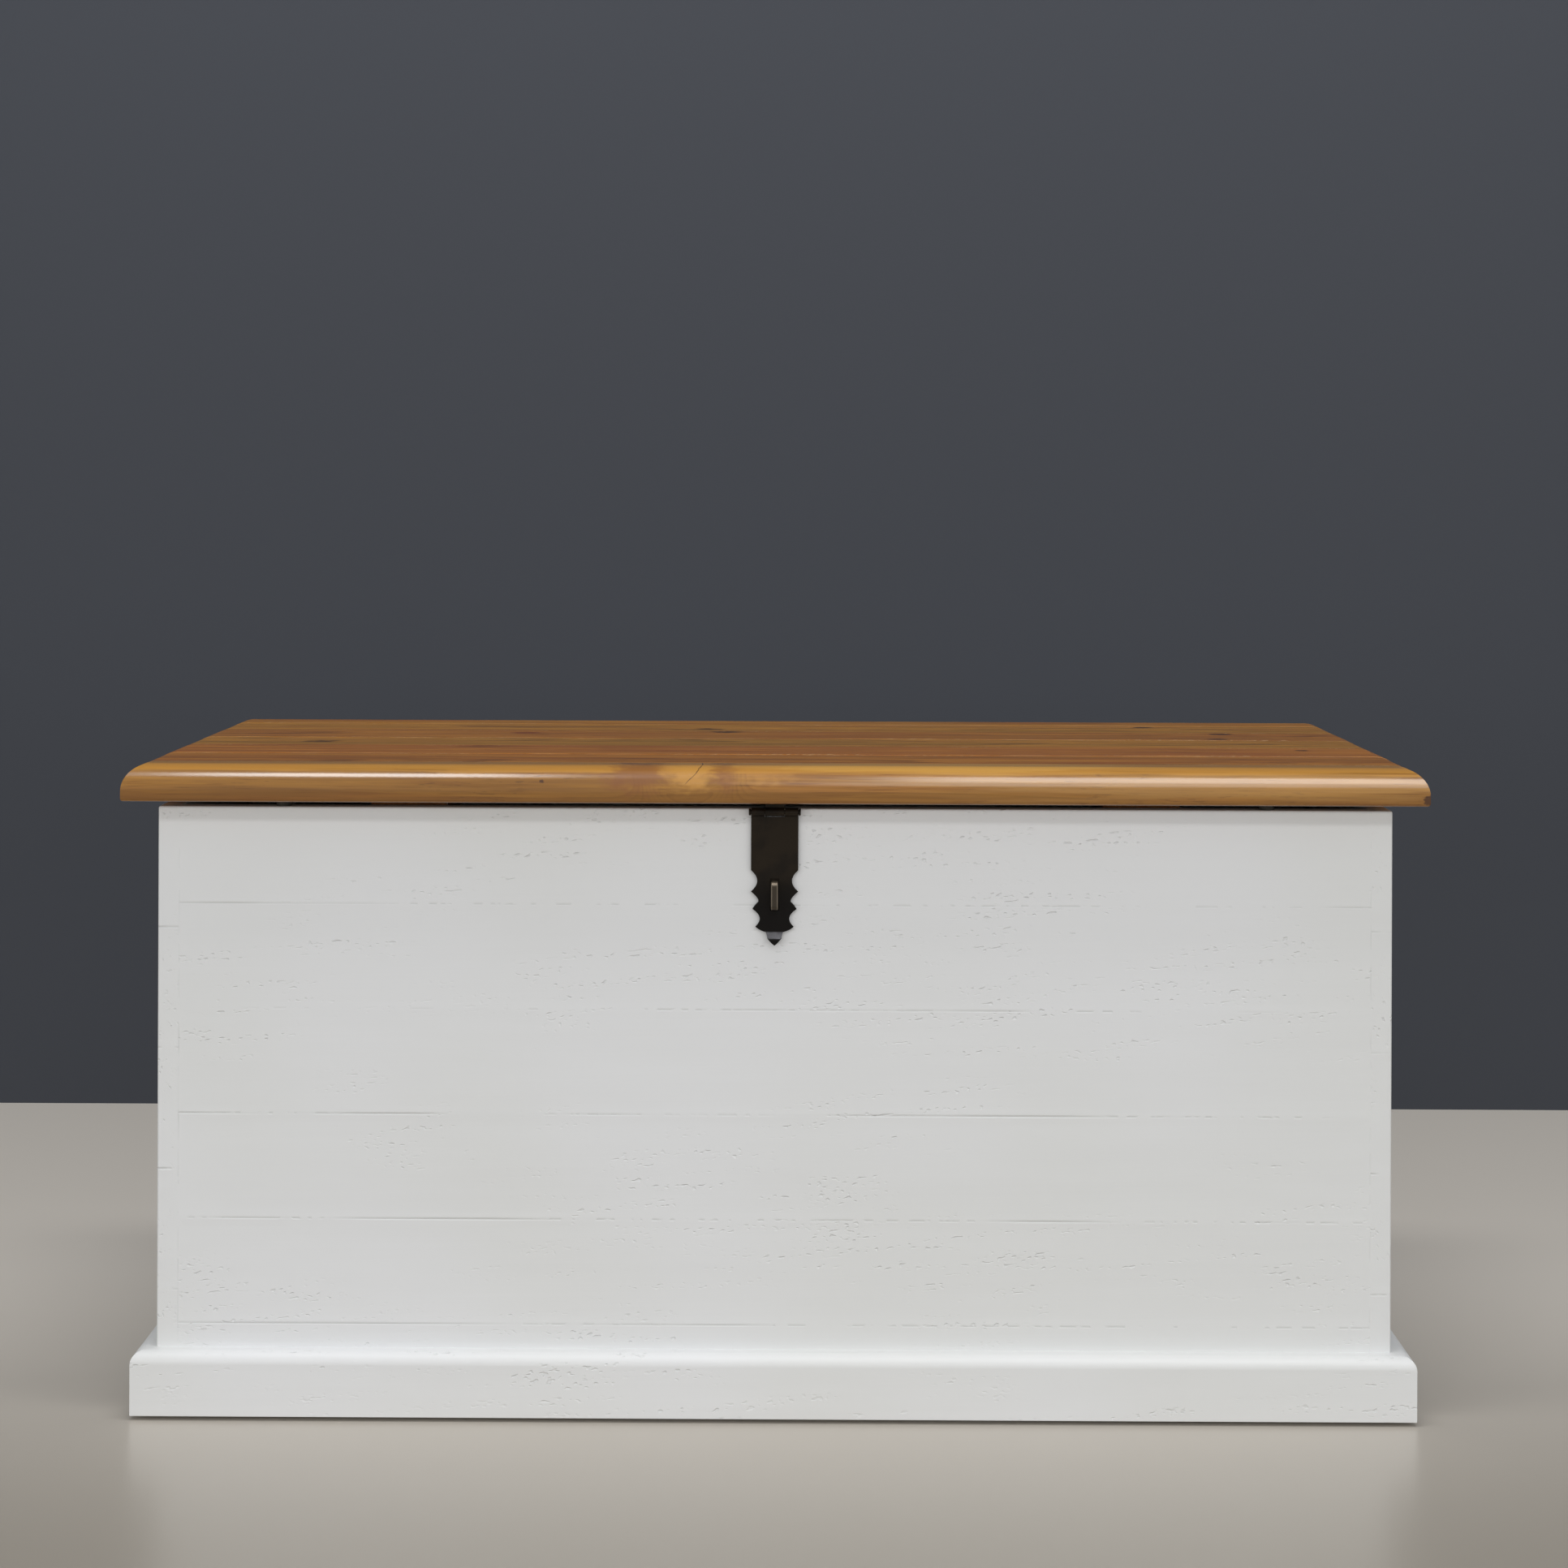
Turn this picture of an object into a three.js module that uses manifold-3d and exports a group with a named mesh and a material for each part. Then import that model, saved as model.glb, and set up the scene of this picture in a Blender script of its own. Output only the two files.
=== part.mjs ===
import * as THREE from 'three';
import * as BufferGeometryUtils from 'three/addons/utils/BufferGeometryUtils.js';
import Module from 'manifold-3d';

// Blanket chest: a painted pine body on a plinth, a stained pine lid, and an iron hasp.
// Millimetres. X runs along the width, the front faces -Y and Z is up.
// The origin lies on the floor, under the middle of the lid.

const wasm = await Module();
wasm.setup();

// Overall sizes
const lidWidth = 1000;
const lidDepth = 450;
const lidThickness = 28;
const lidGap = 6;
const wallHeight = 466;
const glideHeight = 3;
const sideOverhang = 24;
const frontOverhang = 25;
const backOverhang = 5;
const wallThickness = 16;
const lidOpening = THREE.MathUtils.degToRad(95);

// Levels and faces that follow from them
const wallBottom = glideHeight;
const wallTop = wallBottom + wallHeight;
const lidBottom = wallTop + lidGap;
const bodyHalf = lidWidth / 2 - sideOverhang;
const innerHalf = bodyHalf - wallThickness;
const frontFace = frontOverhang - lidDepth / 2;
const backFace = lidDepth / 2 - backOverhang;
const innerFront = frontFace + wallThickness;
const innerBack = backFace - wallThickness;
const bodyDepth = backFace - frontFace;
const bodyMiddle = (frontFace + backFace) / 2;

// Boards
const ease = 0.4;
const frontTopBoard = 74.5;
const frontBoard = 81;
const thinnestBoardShare = 0.35;
const sideBoardCount = 5;
const backBoardCount = 5;

// Bottom panel on its two cleats
const cleatSize = 20;
const cleatLevel = 23;
const panelThickness = 12;
const panelClearance = 1;

// Plinth
const plinthThickness = 17;
const plinthHeight = 49;
const plinthRound = 9.5;
const mitreClearance = 0.3;

// Glides and bumpers
const glideRadius = 13;
const glideEase = 0.8;
const glideInset = 16;
const bumperRadius = 6;
const bumperEase = 1.5;
const bumperInset = 96;

// Lid
const lidTopRound = 20;
const lidBottomRound = 4;
const lidBoardCount = 5;
const lidSeamPitch = lidDepth / (lidBoardCount + 1);
const battenWidth = 60;
const battenThickness = 18;
const battenEase = 2;
const battenInset = 12;
const battenPlaceShare = 0.6;

// Butt hinges at the back
const hingeLength = 64;
const hingePlaceShare = 0.7;
const hingeLeafThickness = 1.6;
const hingeBarrel = 2.8;
const hingePinRadius = 1.3;
const hingePinHead = 2.4;
const hingePinHeadThickness = 1.2;
const knuckleCount = 5;
const knuckleGap = 0.4;

// Hasp and staple
const haspWidth = 36.4;
const haspThickness = 1.8;
const haspBarrel = 3.3;
const haspPinRadius = 1.6;
const haspCapRadius = 2.7;
const haspCapThickness = 1.6;
const haspMiddleKnuckle = 14.8;
const haspNotchDepth = 4;
const haspDrop = 2;
const haspLength = 102.6;
const haspJoggle = 4;
const haspLeafDepth = 34;
const haspLeafCorner = 4;
const staplePlateWidth = 25;
const staplePlateHeight = 29;
const staplePlateThickness = 1.5;
const staplePlateGap = 0.5;
const stapleDrop = 63.8;
const stapleHeight = 22.4;
const stapleWidth = 5.4;
const stapleReach = 13;
const stapleBar = 3;
const stapleRound = 4;
const slotClearance = 1.2;

// Sliding lid stays
const stayRadius = 150;
const stayPivotDrop = 9;
const studAngle = THREE.MathUtils.degToRad(30);
const stayThickness = 2;
const stayWidth = 16;
const stayEndMargin = 9;
const studRadius = 3;
const studHeadRadius = 6;
const studHeadThickness = 1.5;
const studPlateHeight = 44;
const studPlateWidth = 16;
const rivetRadius = 2.2;
const rivetHeadRadius = 4;
const rivetHeadThickness = 1.2;
const bracketLength = 34;
const bracketFlange = 24;
const bracketFoot = 21;
const slideClearance = 0.3;

// Screw holes
const screwHole = 1.8;
const screwSink = 3.4;
const sinkDepthShare = 0.8;
const hingeHoleShare = 0.32;
const haspHoleShare = 0.6;
const bracketHoleShare = 0.6;
const plateHoleInset = 4.4;

// Running clearance, overrun of cuts, and fineness of round forms
const boreClearance = 0.2;
const overrun = 1;
const mergeDistance = 0.0001;
const arcSteps = 8;
const holeSteps = 16;
const ringSteps = 20;

// Finishes
const paint = finish(0xe4e2dd, 0.55, 0);
const stainedPine = finish(0x9c6d38, 0.35, 0);
const nosingPine = finish(0xb07d3c, 0.32, 0);
const plainPine = finish(0xd6b88a, 0.7, 0);
const darkIron = finish(0x2a241e, 0.45, 0.85);
const brassedSteel = finish(0xb59b62, 0.35, 1);
const zincSteel = finish(0xaeb1b3, 0.35, 1);
const rubber = finish(0x3a3835, 0.9, 0);

function finish(color, roughness, metalness) {
  return { color, roughness, metalness };
}

// Each piece has a material of its own
function piece(parent, name, geometry, look, x = 0, y = 0, z = 0) {
  const mesh = new THREE.Mesh(geometry, new THREE.MeshStandardMaterial(look));
  mesh.name = name;
  mesh.position.set(x, y, z);
  parent.add(mesh);
  return mesh;
}

// Solids for joining and cutting, from geometry whose shared corners are merged
function toSolid(geometry) {
  const bare = geometry.clone();
  bare.deleteAttribute('normal');
  bare.deleteAttribute('uv');
  const merged = BufferGeometryUtils.mergeVertices(bare, mergeDistance);
  const triangles = [];
  for (let i = 0; i < merged.index.count; i += 3) {
    const corners = [0, 1, 2].map((k) => merged.index.getX(i + k));
    if (new Set(corners).size === corners.length) {
      triangles.push(...corners);
    }
  }
  return new wasm.Manifold(new wasm.Mesh({
    numProp: 3,
    vertProperties: new Float32Array(merged.attributes.position.array),
    triVerts: new Uint32Array(triangles),
  }));
}

function fromSolid(solid) {
  const mesh = solid.getMesh();
  const geometry = new THREE.BufferGeometry();
  geometry.setAttribute('position', new THREE.BufferAttribute(mesh.vertProperties, 3));
  geometry.setIndex(new THREE.BufferAttribute(mesh.triVerts, 1));
  const faceted = geometry.toNonIndexed();
  faceted.computeVertexNormals();
  return faceted;
}

function joined(first, ...others) {
  return fromSolid(others.reduce((sum, other) => sum.add(toSolid(other)), toSolid(first)));
}

function cut(body, ...tools) {
  return fromSolid(tools.reduce((rest, tool) => rest.subtract(toSolid(tool)), toSolid(body)));
}

function common(first, second) {
  return fromSolid(toSolid(first).intersect(toSolid(second)));
}

// Turns a section drawn as (Y, Z) and run out along Z, so that it runs along X
function turnToX(geometry) {
  const basis = new THREE.Matrix4().makeBasis(
    new THREE.Vector3(0, 1, 0), new THREE.Vector3(0, 0, 1), new THREE.Vector3(1, 0, 0));
  return geometry.applyMatrix4(basis);
}

// Turns an outline drawn as (X, Z) and run out along Z, so that it runs along Y
function turnToY(geometry) {
  return geometry.rotateX(Math.PI / 2);
}

// A plain run of an outline, centred on the plane where the outline lies
function run(outline, length) {
  const geometry = new THREE.ExtrudeGeometry(outline, {
    depth: length, bevelEnabled: false, curveSegments: arcSteps });
  return geometry.translate(0, 0, -length / 2);
}

// The same run with the edges of both end faces eased
function easedRun(outline, length, size) {
  const geometry = new THREE.ExtrudeGeometry(outline, {
    depth: length - 2 * size,
    bevelEnabled: true,
    bevelThickness: size,
    bevelSize: size,
    bevelOffset: -size,
    bevelSegments: 1,
    curveSegments: arcSteps,
  });
  return geometry.translate(0, 0, size - length / 2);
}

function rectangle(width, height) {
  const shape = new THREE.Shape();
  shape.moveTo(-width / 2, -height / 2);
  shape.lineTo(width / 2, -height / 2);
  shape.lineTo(width / 2, height / 2);
  shape.lineTo(-width / 2, height / 2);
  shape.closePath();
  return shape;
}

// A bar with two round ends, from one end's centre to the other's along +X
function roundedBar(path, from, to, radius) {
  path.absarc(to, 0, radius, -Math.PI / 2, Math.PI / 2, false);
  path.absarc(from, 0, radius, Math.PI / 2, Math.PI * 3 / 2, false);
  path.closePath();
  return path;
}

function roundHole(x, y, radius) {
  return new THREE.Path().absarc(x, y, radius, 0, Math.PI * 2, true);
}

// A turned piece: its profile (radius, height) spun round Z
function turned(profile, steps = ringSteps) {
  const points = profile.map(([radius, height]) => new THREE.Vector2(radius, height));
  return new THREE.LatheGeometry(points, steps).rotateX(Math.PI / 2);
}

// The space of a countersunk screw: its mouth lies at z = 0 and it goes down through a plate
function screwSpace(thickness) {
  const sinkDepth = screwSink - screwHole;
  const neck = -Math.min(sinkDepth, thickness * sinkDepthShare);
  return turned([
    [0, -thickness - overrun],
    [screwHole, -thickness - overrun],
    [screwHole, neck],
    [screwHole - neck, 0],
    [screwHole - neck, overrun],
    [0, overrun],
  ], holeSteps);
}

// Walls: edge-glued boards, the front and back ones between the side ones
function levelsDown(top, bottom, firstHeight, height) {
  const levels = [top];
  let level = top - firstHeight;
  while (level - bottom > height * thinnestBoardShare) {
    levels.push(level);
    level -= height;
  }
  levels.push(bottom);
  return levels;
}

function stackBoards(parent, prefix, levels, boardGeometry, x, y) {
  for (let i = 0; i + 1 < levels.length; i += 1) {
    const height = levels[i] - levels[i + 1];
    const middle = (levels[i] + levels[i + 1]) / 2;
    piece(parent, `${prefix}_${i + 1}`, boardGeometry(height), paint, x, y, middle);
  }
}

function longBoard(height) {
  return turnToY(easedRun(rectangle(innerHalf * 2, height), wallThickness, ease));
}

function sideBoard(height) {
  return turnToX(easedRun(rectangle(bodyDepth, height), wallThickness, ease));
}

function walls() {
  const group = new THREE.Group();
  const frontLevels = levelsDown(wallTop, wallBottom, frontTopBoard, frontBoard);
  const backHeight = wallHeight / backBoardCount;
  const backLevels = levelsDown(wallTop, wallBottom, backHeight, backHeight);
  const sideHeight = wallHeight / sideBoardCount;
  const sideLevels = levelsDown(wallTop, wallBottom, sideHeight, sideHeight);
  const halfWall = wallThickness / 2;
  stackBoards(group, 'front_board', frontLevels, longBoard, 0, frontFace + halfWall);
  stackBoards(group, 'back_board', backLevels, longBoard, 0, backFace - halfWall);
  stackBoards(group, 'left_side_board', sideLevels, sideBoard, halfWall - bodyHalf, bodyMiddle);
  stackBoards(group, 'right_side_board', sideLevels, sideBoard, bodyHalf - halfWall, bodyMiddle);
  return group;
}

// Bottom panel, resting on a cleat along the front wall and one along the back wall
function bottom() {
  const group = new THREE.Group();
  const cleat = () => turnToX(easedRun(
    rectangle(cleatSize, cleatSize), (innerHalf - panelClearance) * 2, ease));
  const cleatMiddle = cleatLevel + cleatSize / 2;
  piece(group, 'front_cleat', cleat(), plainPine, 0, innerFront + cleatSize / 2, cleatMiddle);
  piece(group, 'back_cleat', cleat(), plainPine, 0, innerBack - cleatSize / 2, cleatMiddle);
  const width = (innerHalf - panelClearance) * 2;
  const depth = innerBack - innerFront - panelClearance * 2;
  const panel = easedRun(rectangle(width, depth), panelThickness, ease);
  const panelMiddle = cleatLevel + cleatSize + panelThickness / 2;
  piece(group, 'bottom_panel', panel, plainPine, 0, bodyMiddle, panelMiddle);
  return group;
}

// Plinth: a board with a rounded top edge, mitred where two of them meet at a front corner.
// The section is drawn as (distance out from the wall, height) and run out along Z.
function plinthBoard(length, startMitred, endMitred) {
  const section = new THREE.Shape();
  section.moveTo(0, 0);
  section.lineTo(plinthThickness - ease, 0);
  section.lineTo(plinthThickness, ease);
  section.lineTo(plinthThickness, plinthHeight - plinthRound);
  section.absarc(plinthThickness - plinthRound, plinthHeight - plinthRound, plinthRound,
    0, Math.PI / 2, false);
  section.lineTo(0, plinthHeight);
  section.closePath();
  const geometry = run(section, length);
  const setBack = mitreClearance * Math.SQRT1_2;
  const place = geometry.attributes.position;
  for (let i = 0; i < place.count; i += 1) {
    const along = place.getZ(i);
    const outward = place.getX(i) - setBack;
    if (along > 0 && endMitred) {
      place.setZ(i, along + outward);
    }
    if (along < 0 && startMitred) {
      place.setZ(i, along - outward);
    }
  }
  return geometry;
}

function stood(geometry, outward) {
  const up = new THREE.Vector3(0, 0, 1);
  const along = new THREE.Vector3().crossVectors(outward, up);
  return geometry.applyMatrix4(new THREE.Matrix4().makeBasis(outward, up, along));
}

function plinth() {
  const group = new THREE.Group();
  const front = stood(plinthBoard(bodyHalf * 2, true, true), new THREE.Vector3(0, -1, 0));
  const left = stood(plinthBoard(bodyDepth, true, false), new THREE.Vector3(-1, 0, 0));
  const right = stood(plinthBoard(bodyDepth, false, true), new THREE.Vector3(1, 0, 0));
  piece(group, 'plinth_front', front, paint, 0, frontFace, wallBottom);
  piece(group, 'plinth_left', left, paint, -bodyHalf, bodyMiddle, wallBottom);
  piece(group, 'plinth_right', right, paint, bodyHalf, bodyMiddle, wallBottom);
  return group;
}

// Four thin glides, each under the joint of a side wall and its plinth board
function glides() {
  const group = new THREE.Group();
  const glide = () => turned([
    [0, 0],
    [glideRadius - glideEase, 0],
    [glideRadius, glideEase],
    [glideRadius, glideHeight],
    [0, glideHeight],
  ]);
  const rows = { front: frontFace + glideInset, back: backFace - glideInset };
  for (const [row, y] of Object.entries(rows)) {
    piece(group, `glide_${row}_left`, glide(), rubber, -bodyHalf, y, 0);
    piece(group, `glide_${row}_right`, glide(), rubber, bodyHalf, y, 0);
  }
  return group;
}

// Two soft bumpers on the front wall hold the closed lid level
function bumpers() {
  const group = new THREE.Group();
  const bumper = () => turned([
    [0, 0],
    [bumperRadius, 0],
    [bumperRadius, lidGap - bumperEase],
    [bumperRadius - bumperEase, lidGap],
    [0, lidGap],
  ]);
  const x = bodyHalf - bumperInset;
  const y = frontFace + wallThickness / 2;
  piece(group, 'lid_bumper_left', bumper(), rubber, -x, y, wallTop);
  piece(group, 'lid_bumper_right', bumper(), rubber, x, y, wallTop);
  return group;
}

// Lid: boards glued lengthwise, with the front and both ends rounded over.
// The outline across the width is drawn as (X, Z), from the lid's underside.
function lidOutline() {
  const half = lidWidth / 2;
  const topTurn = half - lidTopRound;
  const bottomTurn = half - lidBottomRound;
  const topLevel = lidThickness - lidTopRound;
  const shape = new THREE.Shape();
  shape.absarc(bottomTurn, lidBottomRound, lidBottomRound, -Math.PI / 2, 0, false);
  shape.absarc(topTurn, topLevel, lidTopRound, 0, Math.PI / 2, false);
  shape.absarc(-topTurn, topLevel, lidTopRound, Math.PI / 2, Math.PI, false);
  shape.absarc(-bottomTurn, lidBottomRound, lidBottomRound, Math.PI, Math.PI * 3 / 2, false);
  shape.closePath();
  return shape;
}

// The nosing's own section, drawn as (Y, Z) from the lid's front edge
function nosingOutline(depth) {
  const topLevel = lidThickness - lidTopRound;
  const shape = new THREE.Shape();
  shape.moveTo(depth + overrun, -overrun);
  shape.lineTo(depth + overrun, lidThickness);
  shape.absarc(lidTopRound, topLevel, lidTopRound, Math.PI / 2, Math.PI, false);
  shape.absarc(lidBottomRound, lidBottomRound, lidBottomRound, Math.PI, Math.PI * 3 / 2, false);
  shape.lineTo(depth, 0);
  shape.lineTo(depth, -overrun);
  shape.closePath();
  return shape;
}

function lidBoards() {
  const group = new THREE.Group();
  const edge = lidSeamPitch / 2;
  const front = -lidDepth / 2;
  const board = (depth) => turnToY(easedRun(lidOutline(), depth, ease));
  const rounded = turnToX(run(nosingOutline(edge), lidWidth + overrun * 2));
  const nosing = common(board(edge), rounded.translate(0, -edge / 2, 0));
  piece(group, 'lid_nosing', nosing, nosingPine, 0, front + edge / 2, lidBottom);
  for (let i = 0; i < lidBoardCount; i += 1) {
    const y = front + edge + lidSeamPitch * (i + 1 / 2);
    piece(group, `lid_board_${i + 1}`, board(lidSeamPitch), stainedPine, 0, y, lidBottom);
  }
  piece(group, 'lid_back_strip', board(edge), stainedPine, 0, -front - edge / 2, lidBottom);
  return group;
}

// Two battens under the lid drop inside the walls and keep the boards flat
function battens() {
  const group = new THREE.Group();
  const length = innerBack - innerFront - battenInset * 2;
  const batten = () => easedRun(rectangle(battenWidth, length), battenThickness, battenEase);
  const x = bodyHalf * battenPlaceShare;
  const z = lidBottom - battenThickness / 2;
  piece(group, 'lid_batten_left', batten(), stainedPine, -x, bodyMiddle, z);
  piece(group, 'lid_batten_right', batten(), stainedPine, x, bodyMiddle, z);
  return group;
}

// Butt hinge: two leaves of equal form, turned face to face round one pin.
// Both are drawn round the pin's axis; the leaf runs out towards -Y, under the axis.
const hingeDrop = lidGap / 2;
const hingeY = lidDepth / 2 - hingeDrop;
const hingeZ = wallTop + hingeDrop;
const hingeReach = hingeBarrel + knuckleGap;
const knuckleLength = (hingeLength - knuckleGap * (knuckleCount - 1)) / knuckleCount;

function knuckle(index) {
  const leafTop = hingeDrop - hingeLeafThickness;
  const tang = hingeReach + overrun;
  const outline = new THREE.Shape();
  outline.moveTo(-tang, -hingeDrop);
  outline.lineTo(-hingeBarrel / 2, -hingeDrop);
  outline.absarc(0, 0, hingeBarrel, -Math.PI / 2, Math.PI + Math.asin(leafTop / hingeBarrel), false);
  outline.lineTo(-tang, -leafTop);
  outline.closePath();
  outline.holes.push(roundHole(0, 0, hingePinRadius + boreClearance));
  const x = (index - (knuckleCount - 1) / 2) * (knuckleLength + knuckleGap);
  return turnToX(run(outline, knuckleLength)).translate(x, 0, 0);
}

function hingeLeaf(indexes) {
  const width = hingeY - innerBack - hingeReach;
  const middle = -hingeReach - width / 2;
  const level = hingeLeafThickness - hingeDrop;
  const plate = easedRun(rectangle(hingeLength, width), hingeLeafThickness, ease);
  plate.translate(0, middle, level - hingeLeafThickness / 2);
  const holes = [-1, 0, 1].map((side) => screwSpace(hingeLeafThickness)
    .translate(side * hingeLength * hingeHoleShare, middle, level));
  return cut(joined(plate, ...indexes.map(knuckle)), ...holes);
}

function hingePin() {
  const reach = hingeLength / 2 + boreClearance;
  const head = reach + hingePinHeadThickness;
  return turned([
    [0, -head],
    [hingePinHead, -head],
    [hingePinHead, -reach],
    [hingePinRadius, -reach],
    [hingePinRadius, reach],
    [hingePinHead, reach],
    [hingePinHead, head],
    [0, head],
  ]).rotateY(Math.PI / 2);
}

function buttHinge(side, x) {
  const group = new THREE.Group();
  group.position.set(x, hingeY, hingeZ);
  const bodyLeaf = hingeLeaf([0, 2, 4]);
  const lidLeaf = hingeLeaf([1, 3]).rotateY(Math.PI);
  piece(group, `${side}_hinge_body_leaf`, bodyLeaf, brassedSteel);
  piece(group, `${side}_hinge_lid_leaf`, lidLeaf, brassedSteel);
  piece(group, `${side}_hinge_pin`, hingePin(), brassedSteel);
  return group;
}

// Hasp: drawn round its pin's axis. The strap hangs just clear of the staple's plate.
const haspHalf = haspWidth / 2;
const haspBore = haspPinRadius + boreClearance;
const haspY = frontFace - staplePlateThickness - staplePlateGap - haspBarrel;
const haspZ = wallTop - haspDrop;
const haspFrontLine = haspBarrel - haspThickness;
const haspTangent = Math.acos(haspFrontLine / haspBarrel);
const haspRise = lidBottom - haspZ;

// Right half of the strap's outline below its straight sides, as [x, z, bend x, bend z]:
// shares of the strap's half width and length, with the point that each curve bends towards
const scallopShares = [
  [1, 0.599, 0.47, 0.519],
  [0.71, 0.653, 0.78, 0.632],
  [0.665, 0.673, 0.687, 0.663],
  [0.935, 0.73, 0.81, 0.692],
  [0.813, 0.863, 0.38, 0.794],
  [0.352, 0.904, 0.604, 0.895],
  [0.297, 0.946, 0.325, 0.925],
  [0, 1, 0.17, 0.978],
];
const straightShare = 0.439;
const joggleStartShare = 0.904;
const joggleEndShare = 0.946;

function strapFront() {
  const top = haspBarrel + overrun;
  const notch = haspMiddleKnuckle / 2 + knuckleGap;
  const at = ([x, z]) => [x * haspHalf, -z * haspLength];
  const bend = ([, , x, z]) => [x * haspHalf, -z * haspLength];
  const shape = new THREE.Shape();
  shape.moveTo(-notch, top);
  shape.lineTo(-haspHalf, top);
  shape.lineTo(-haspHalf, -straightShare * haspLength);
  for (const row of scallopShares) {
    const [bendX, bendZ] = bend(row);
    const [x, z] = at(row);
    shape.quadraticCurveTo(-bendX, bendZ, -x, z);
  }
  for (let i = scallopShares.length - 1; i >= 0; i -= 1) {
    const start = i > 0 ? at(scallopShares[i - 1]) : [haspHalf, -straightShare * haspLength];
    shape.quadraticCurveTo(...bend(scallopShares[i]), ...start);
  }
  shape.lineTo(haspHalf, top);
  shape.lineTo(notch, top);
  shape.lineTo(notch, -haspNotchDepth);
  shape.lineTo(-notch, -haspNotchDepth);
  shape.closePath();
  shape.holes.push(strapSlot());
  return shape;
}

// The slot goes over the staple, with room for the strap to swing off it
function strapSlot() {
  const half = stapleWidth / 2 + slotClearance / 2;
  const high = slotClearance + stapleHeight / 2 - stapleDrop;
  const low = -slotClearance - stapleHeight / 2 - stapleDrop;
  const slot = new THREE.Path();
  slot.moveTo(-half, low);
  slot.lineTo(-half, high);
  slot.lineTo(half, high);
  slot.lineTo(half, low);
  slot.closePath();
  return slot;
}

// Side view of the strap as (Y, Z): barrel, flat strap, and the finger tip set forward
function strapSide() {
  const end = -haspLength - overrun;
  const bendStart = -joggleStartShare * haspLength;
  const bendEnd = -joggleEndShare * haspLength;
  const shape = new THREE.Shape();
  shape.absarc(0, 0, haspBarrel, 0, Math.PI * 2 - haspTangent, false);
  shape.lineTo(haspFrontLine, bendStart);
  shape.lineTo(haspFrontLine - haspJoggle, bendEnd);
  shape.lineTo(haspFrontLine - haspJoggle, end);
  shape.lineTo(haspBarrel - haspJoggle, end);
  shape.lineTo(haspBarrel - haspJoggle, bendEnd);
  shape.lineTo(haspBarrel, bendStart);
  shape.closePath();
  shape.holes.push(roundHole(0, 0, haspBore));
  return shape;
}

function haspStrap() {
  const side = turnToX(run(strapSide(), haspWidth + overrun * 2));
  const front = turnToY(run(strapFront(), (haspBarrel + haspJoggle + overrun) * 2));
  return common(side, front);
}

// Side view of the lid leaf: barrel, short upright, and the plate under the lid
function haspLeafSide() {
  const back = haspBarrel + haspLeafDepth;
  const shape = new THREE.Shape();
  shape.moveTo(haspBarrel, 0);
  shape.lineTo(haspBarrel, haspRise - haspThickness);
  shape.lineTo(back, haspRise - haspThickness);
  shape.lineTo(back, haspRise);
  shape.absarc(haspBarrel, haspRise - haspThickness, haspThickness, Math.PI / 2, Math.PI, false);
  shape.absarc(0, 0, haspBarrel, haspTangent, Math.PI * 2, false);
  shape.closePath();
  shape.holes.push(roundHole(0, 0, haspBore));
  return shape;
}

function haspLeaf() {
  const spine = turnToX(run(haspLeafSide(), haspMiddleKnuckle));
  const start = haspBarrel + haspThickness;
  const depth = haspLeafDepth - haspThickness;
  const corner = haspLeafCorner;
  const outline = new THREE.Shape();
  outline.moveTo(-haspHalf, 0);
  outline.lineTo(haspHalf, 0);
  outline.lineTo(haspHalf, depth - corner);
  outline.absarc(haspHalf - corner, depth - corner, corner, 0, Math.PI / 2, false);
  outline.absarc(corner - haspHalf, depth - corner, corner, Math.PI / 2, Math.PI, false);
  outline.closePath();
  const plate = run(outline, haspThickness).translate(0, start, haspRise - haspThickness / 2);
  const holes = [-1, 1].map((side) => screwSpace(haspThickness).rotateX(Math.PI)
    .translate(side * haspHalf * haspHoleShare, start + depth * haspHoleShare, haspRise - haspThickness));
  return cut(joined(spine, plate), ...holes);
}

function haspPin() {
  const reach = haspHalf + boreClearance;
  const cap = reach + haspCapThickness;
  return turned([
    [0, -cap],
    [haspCapRadius, -cap],
    [haspCapRadius, -reach],
    [haspPinRadius, -reach],
    [haspPinRadius, reach],
    [haspCapRadius, reach],
    [haspCapRadius, cap],
    [0, cap],
  ]).rotateY(Math.PI / 2);
}

// Staple: a flat bar bent to a square loop, set on a screwed plate; drawn from the plate's face
function staple() {
  const half = stapleHeight / 2;
  const innerRound = stapleRound - stapleBar;
  const outerTurn = stapleRound - stapleReach;
  const shape = new THREE.Shape();
  shape.moveTo(0, half);
  shape.absarc(outerTurn, half - stapleRound, stapleRound, Math.PI / 2, Math.PI, false);
  shape.absarc(outerTurn, stapleRound - half, stapleRound, Math.PI, Math.PI * 3 / 2, false);
  shape.lineTo(0, -half);
  shape.lineTo(0, stapleBar - half);
  shape.absarc(outerTurn, stapleRound - half, innerRound, Math.PI * 3 / 2, Math.PI, true);
  shape.absarc(outerTurn, half - stapleRound, innerRound, Math.PI, Math.PI / 2, true);
  shape.lineTo(0, half - stapleBar);
  shape.closePath();
  return turnToX(run(shape, stapleWidth));
}

function staplePlate() {
  const plate = easedRun(rectangle(staplePlateWidth, staplePlateHeight), staplePlateThickness, ease);
  const x = staplePlateWidth / 2 - plateHoleInset;
  const z = staplePlateHeight / 2 - plateHoleInset;
  const holes = [[-x, -z], [x, -z], [x, z], [-x, z]].map(([holeX, holeZ]) =>
    screwSpace(staplePlateThickness).translate(holeX, holeZ, staplePlateThickness / 2));
  return turnToY(cut(plate, ...holes));
}

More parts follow.
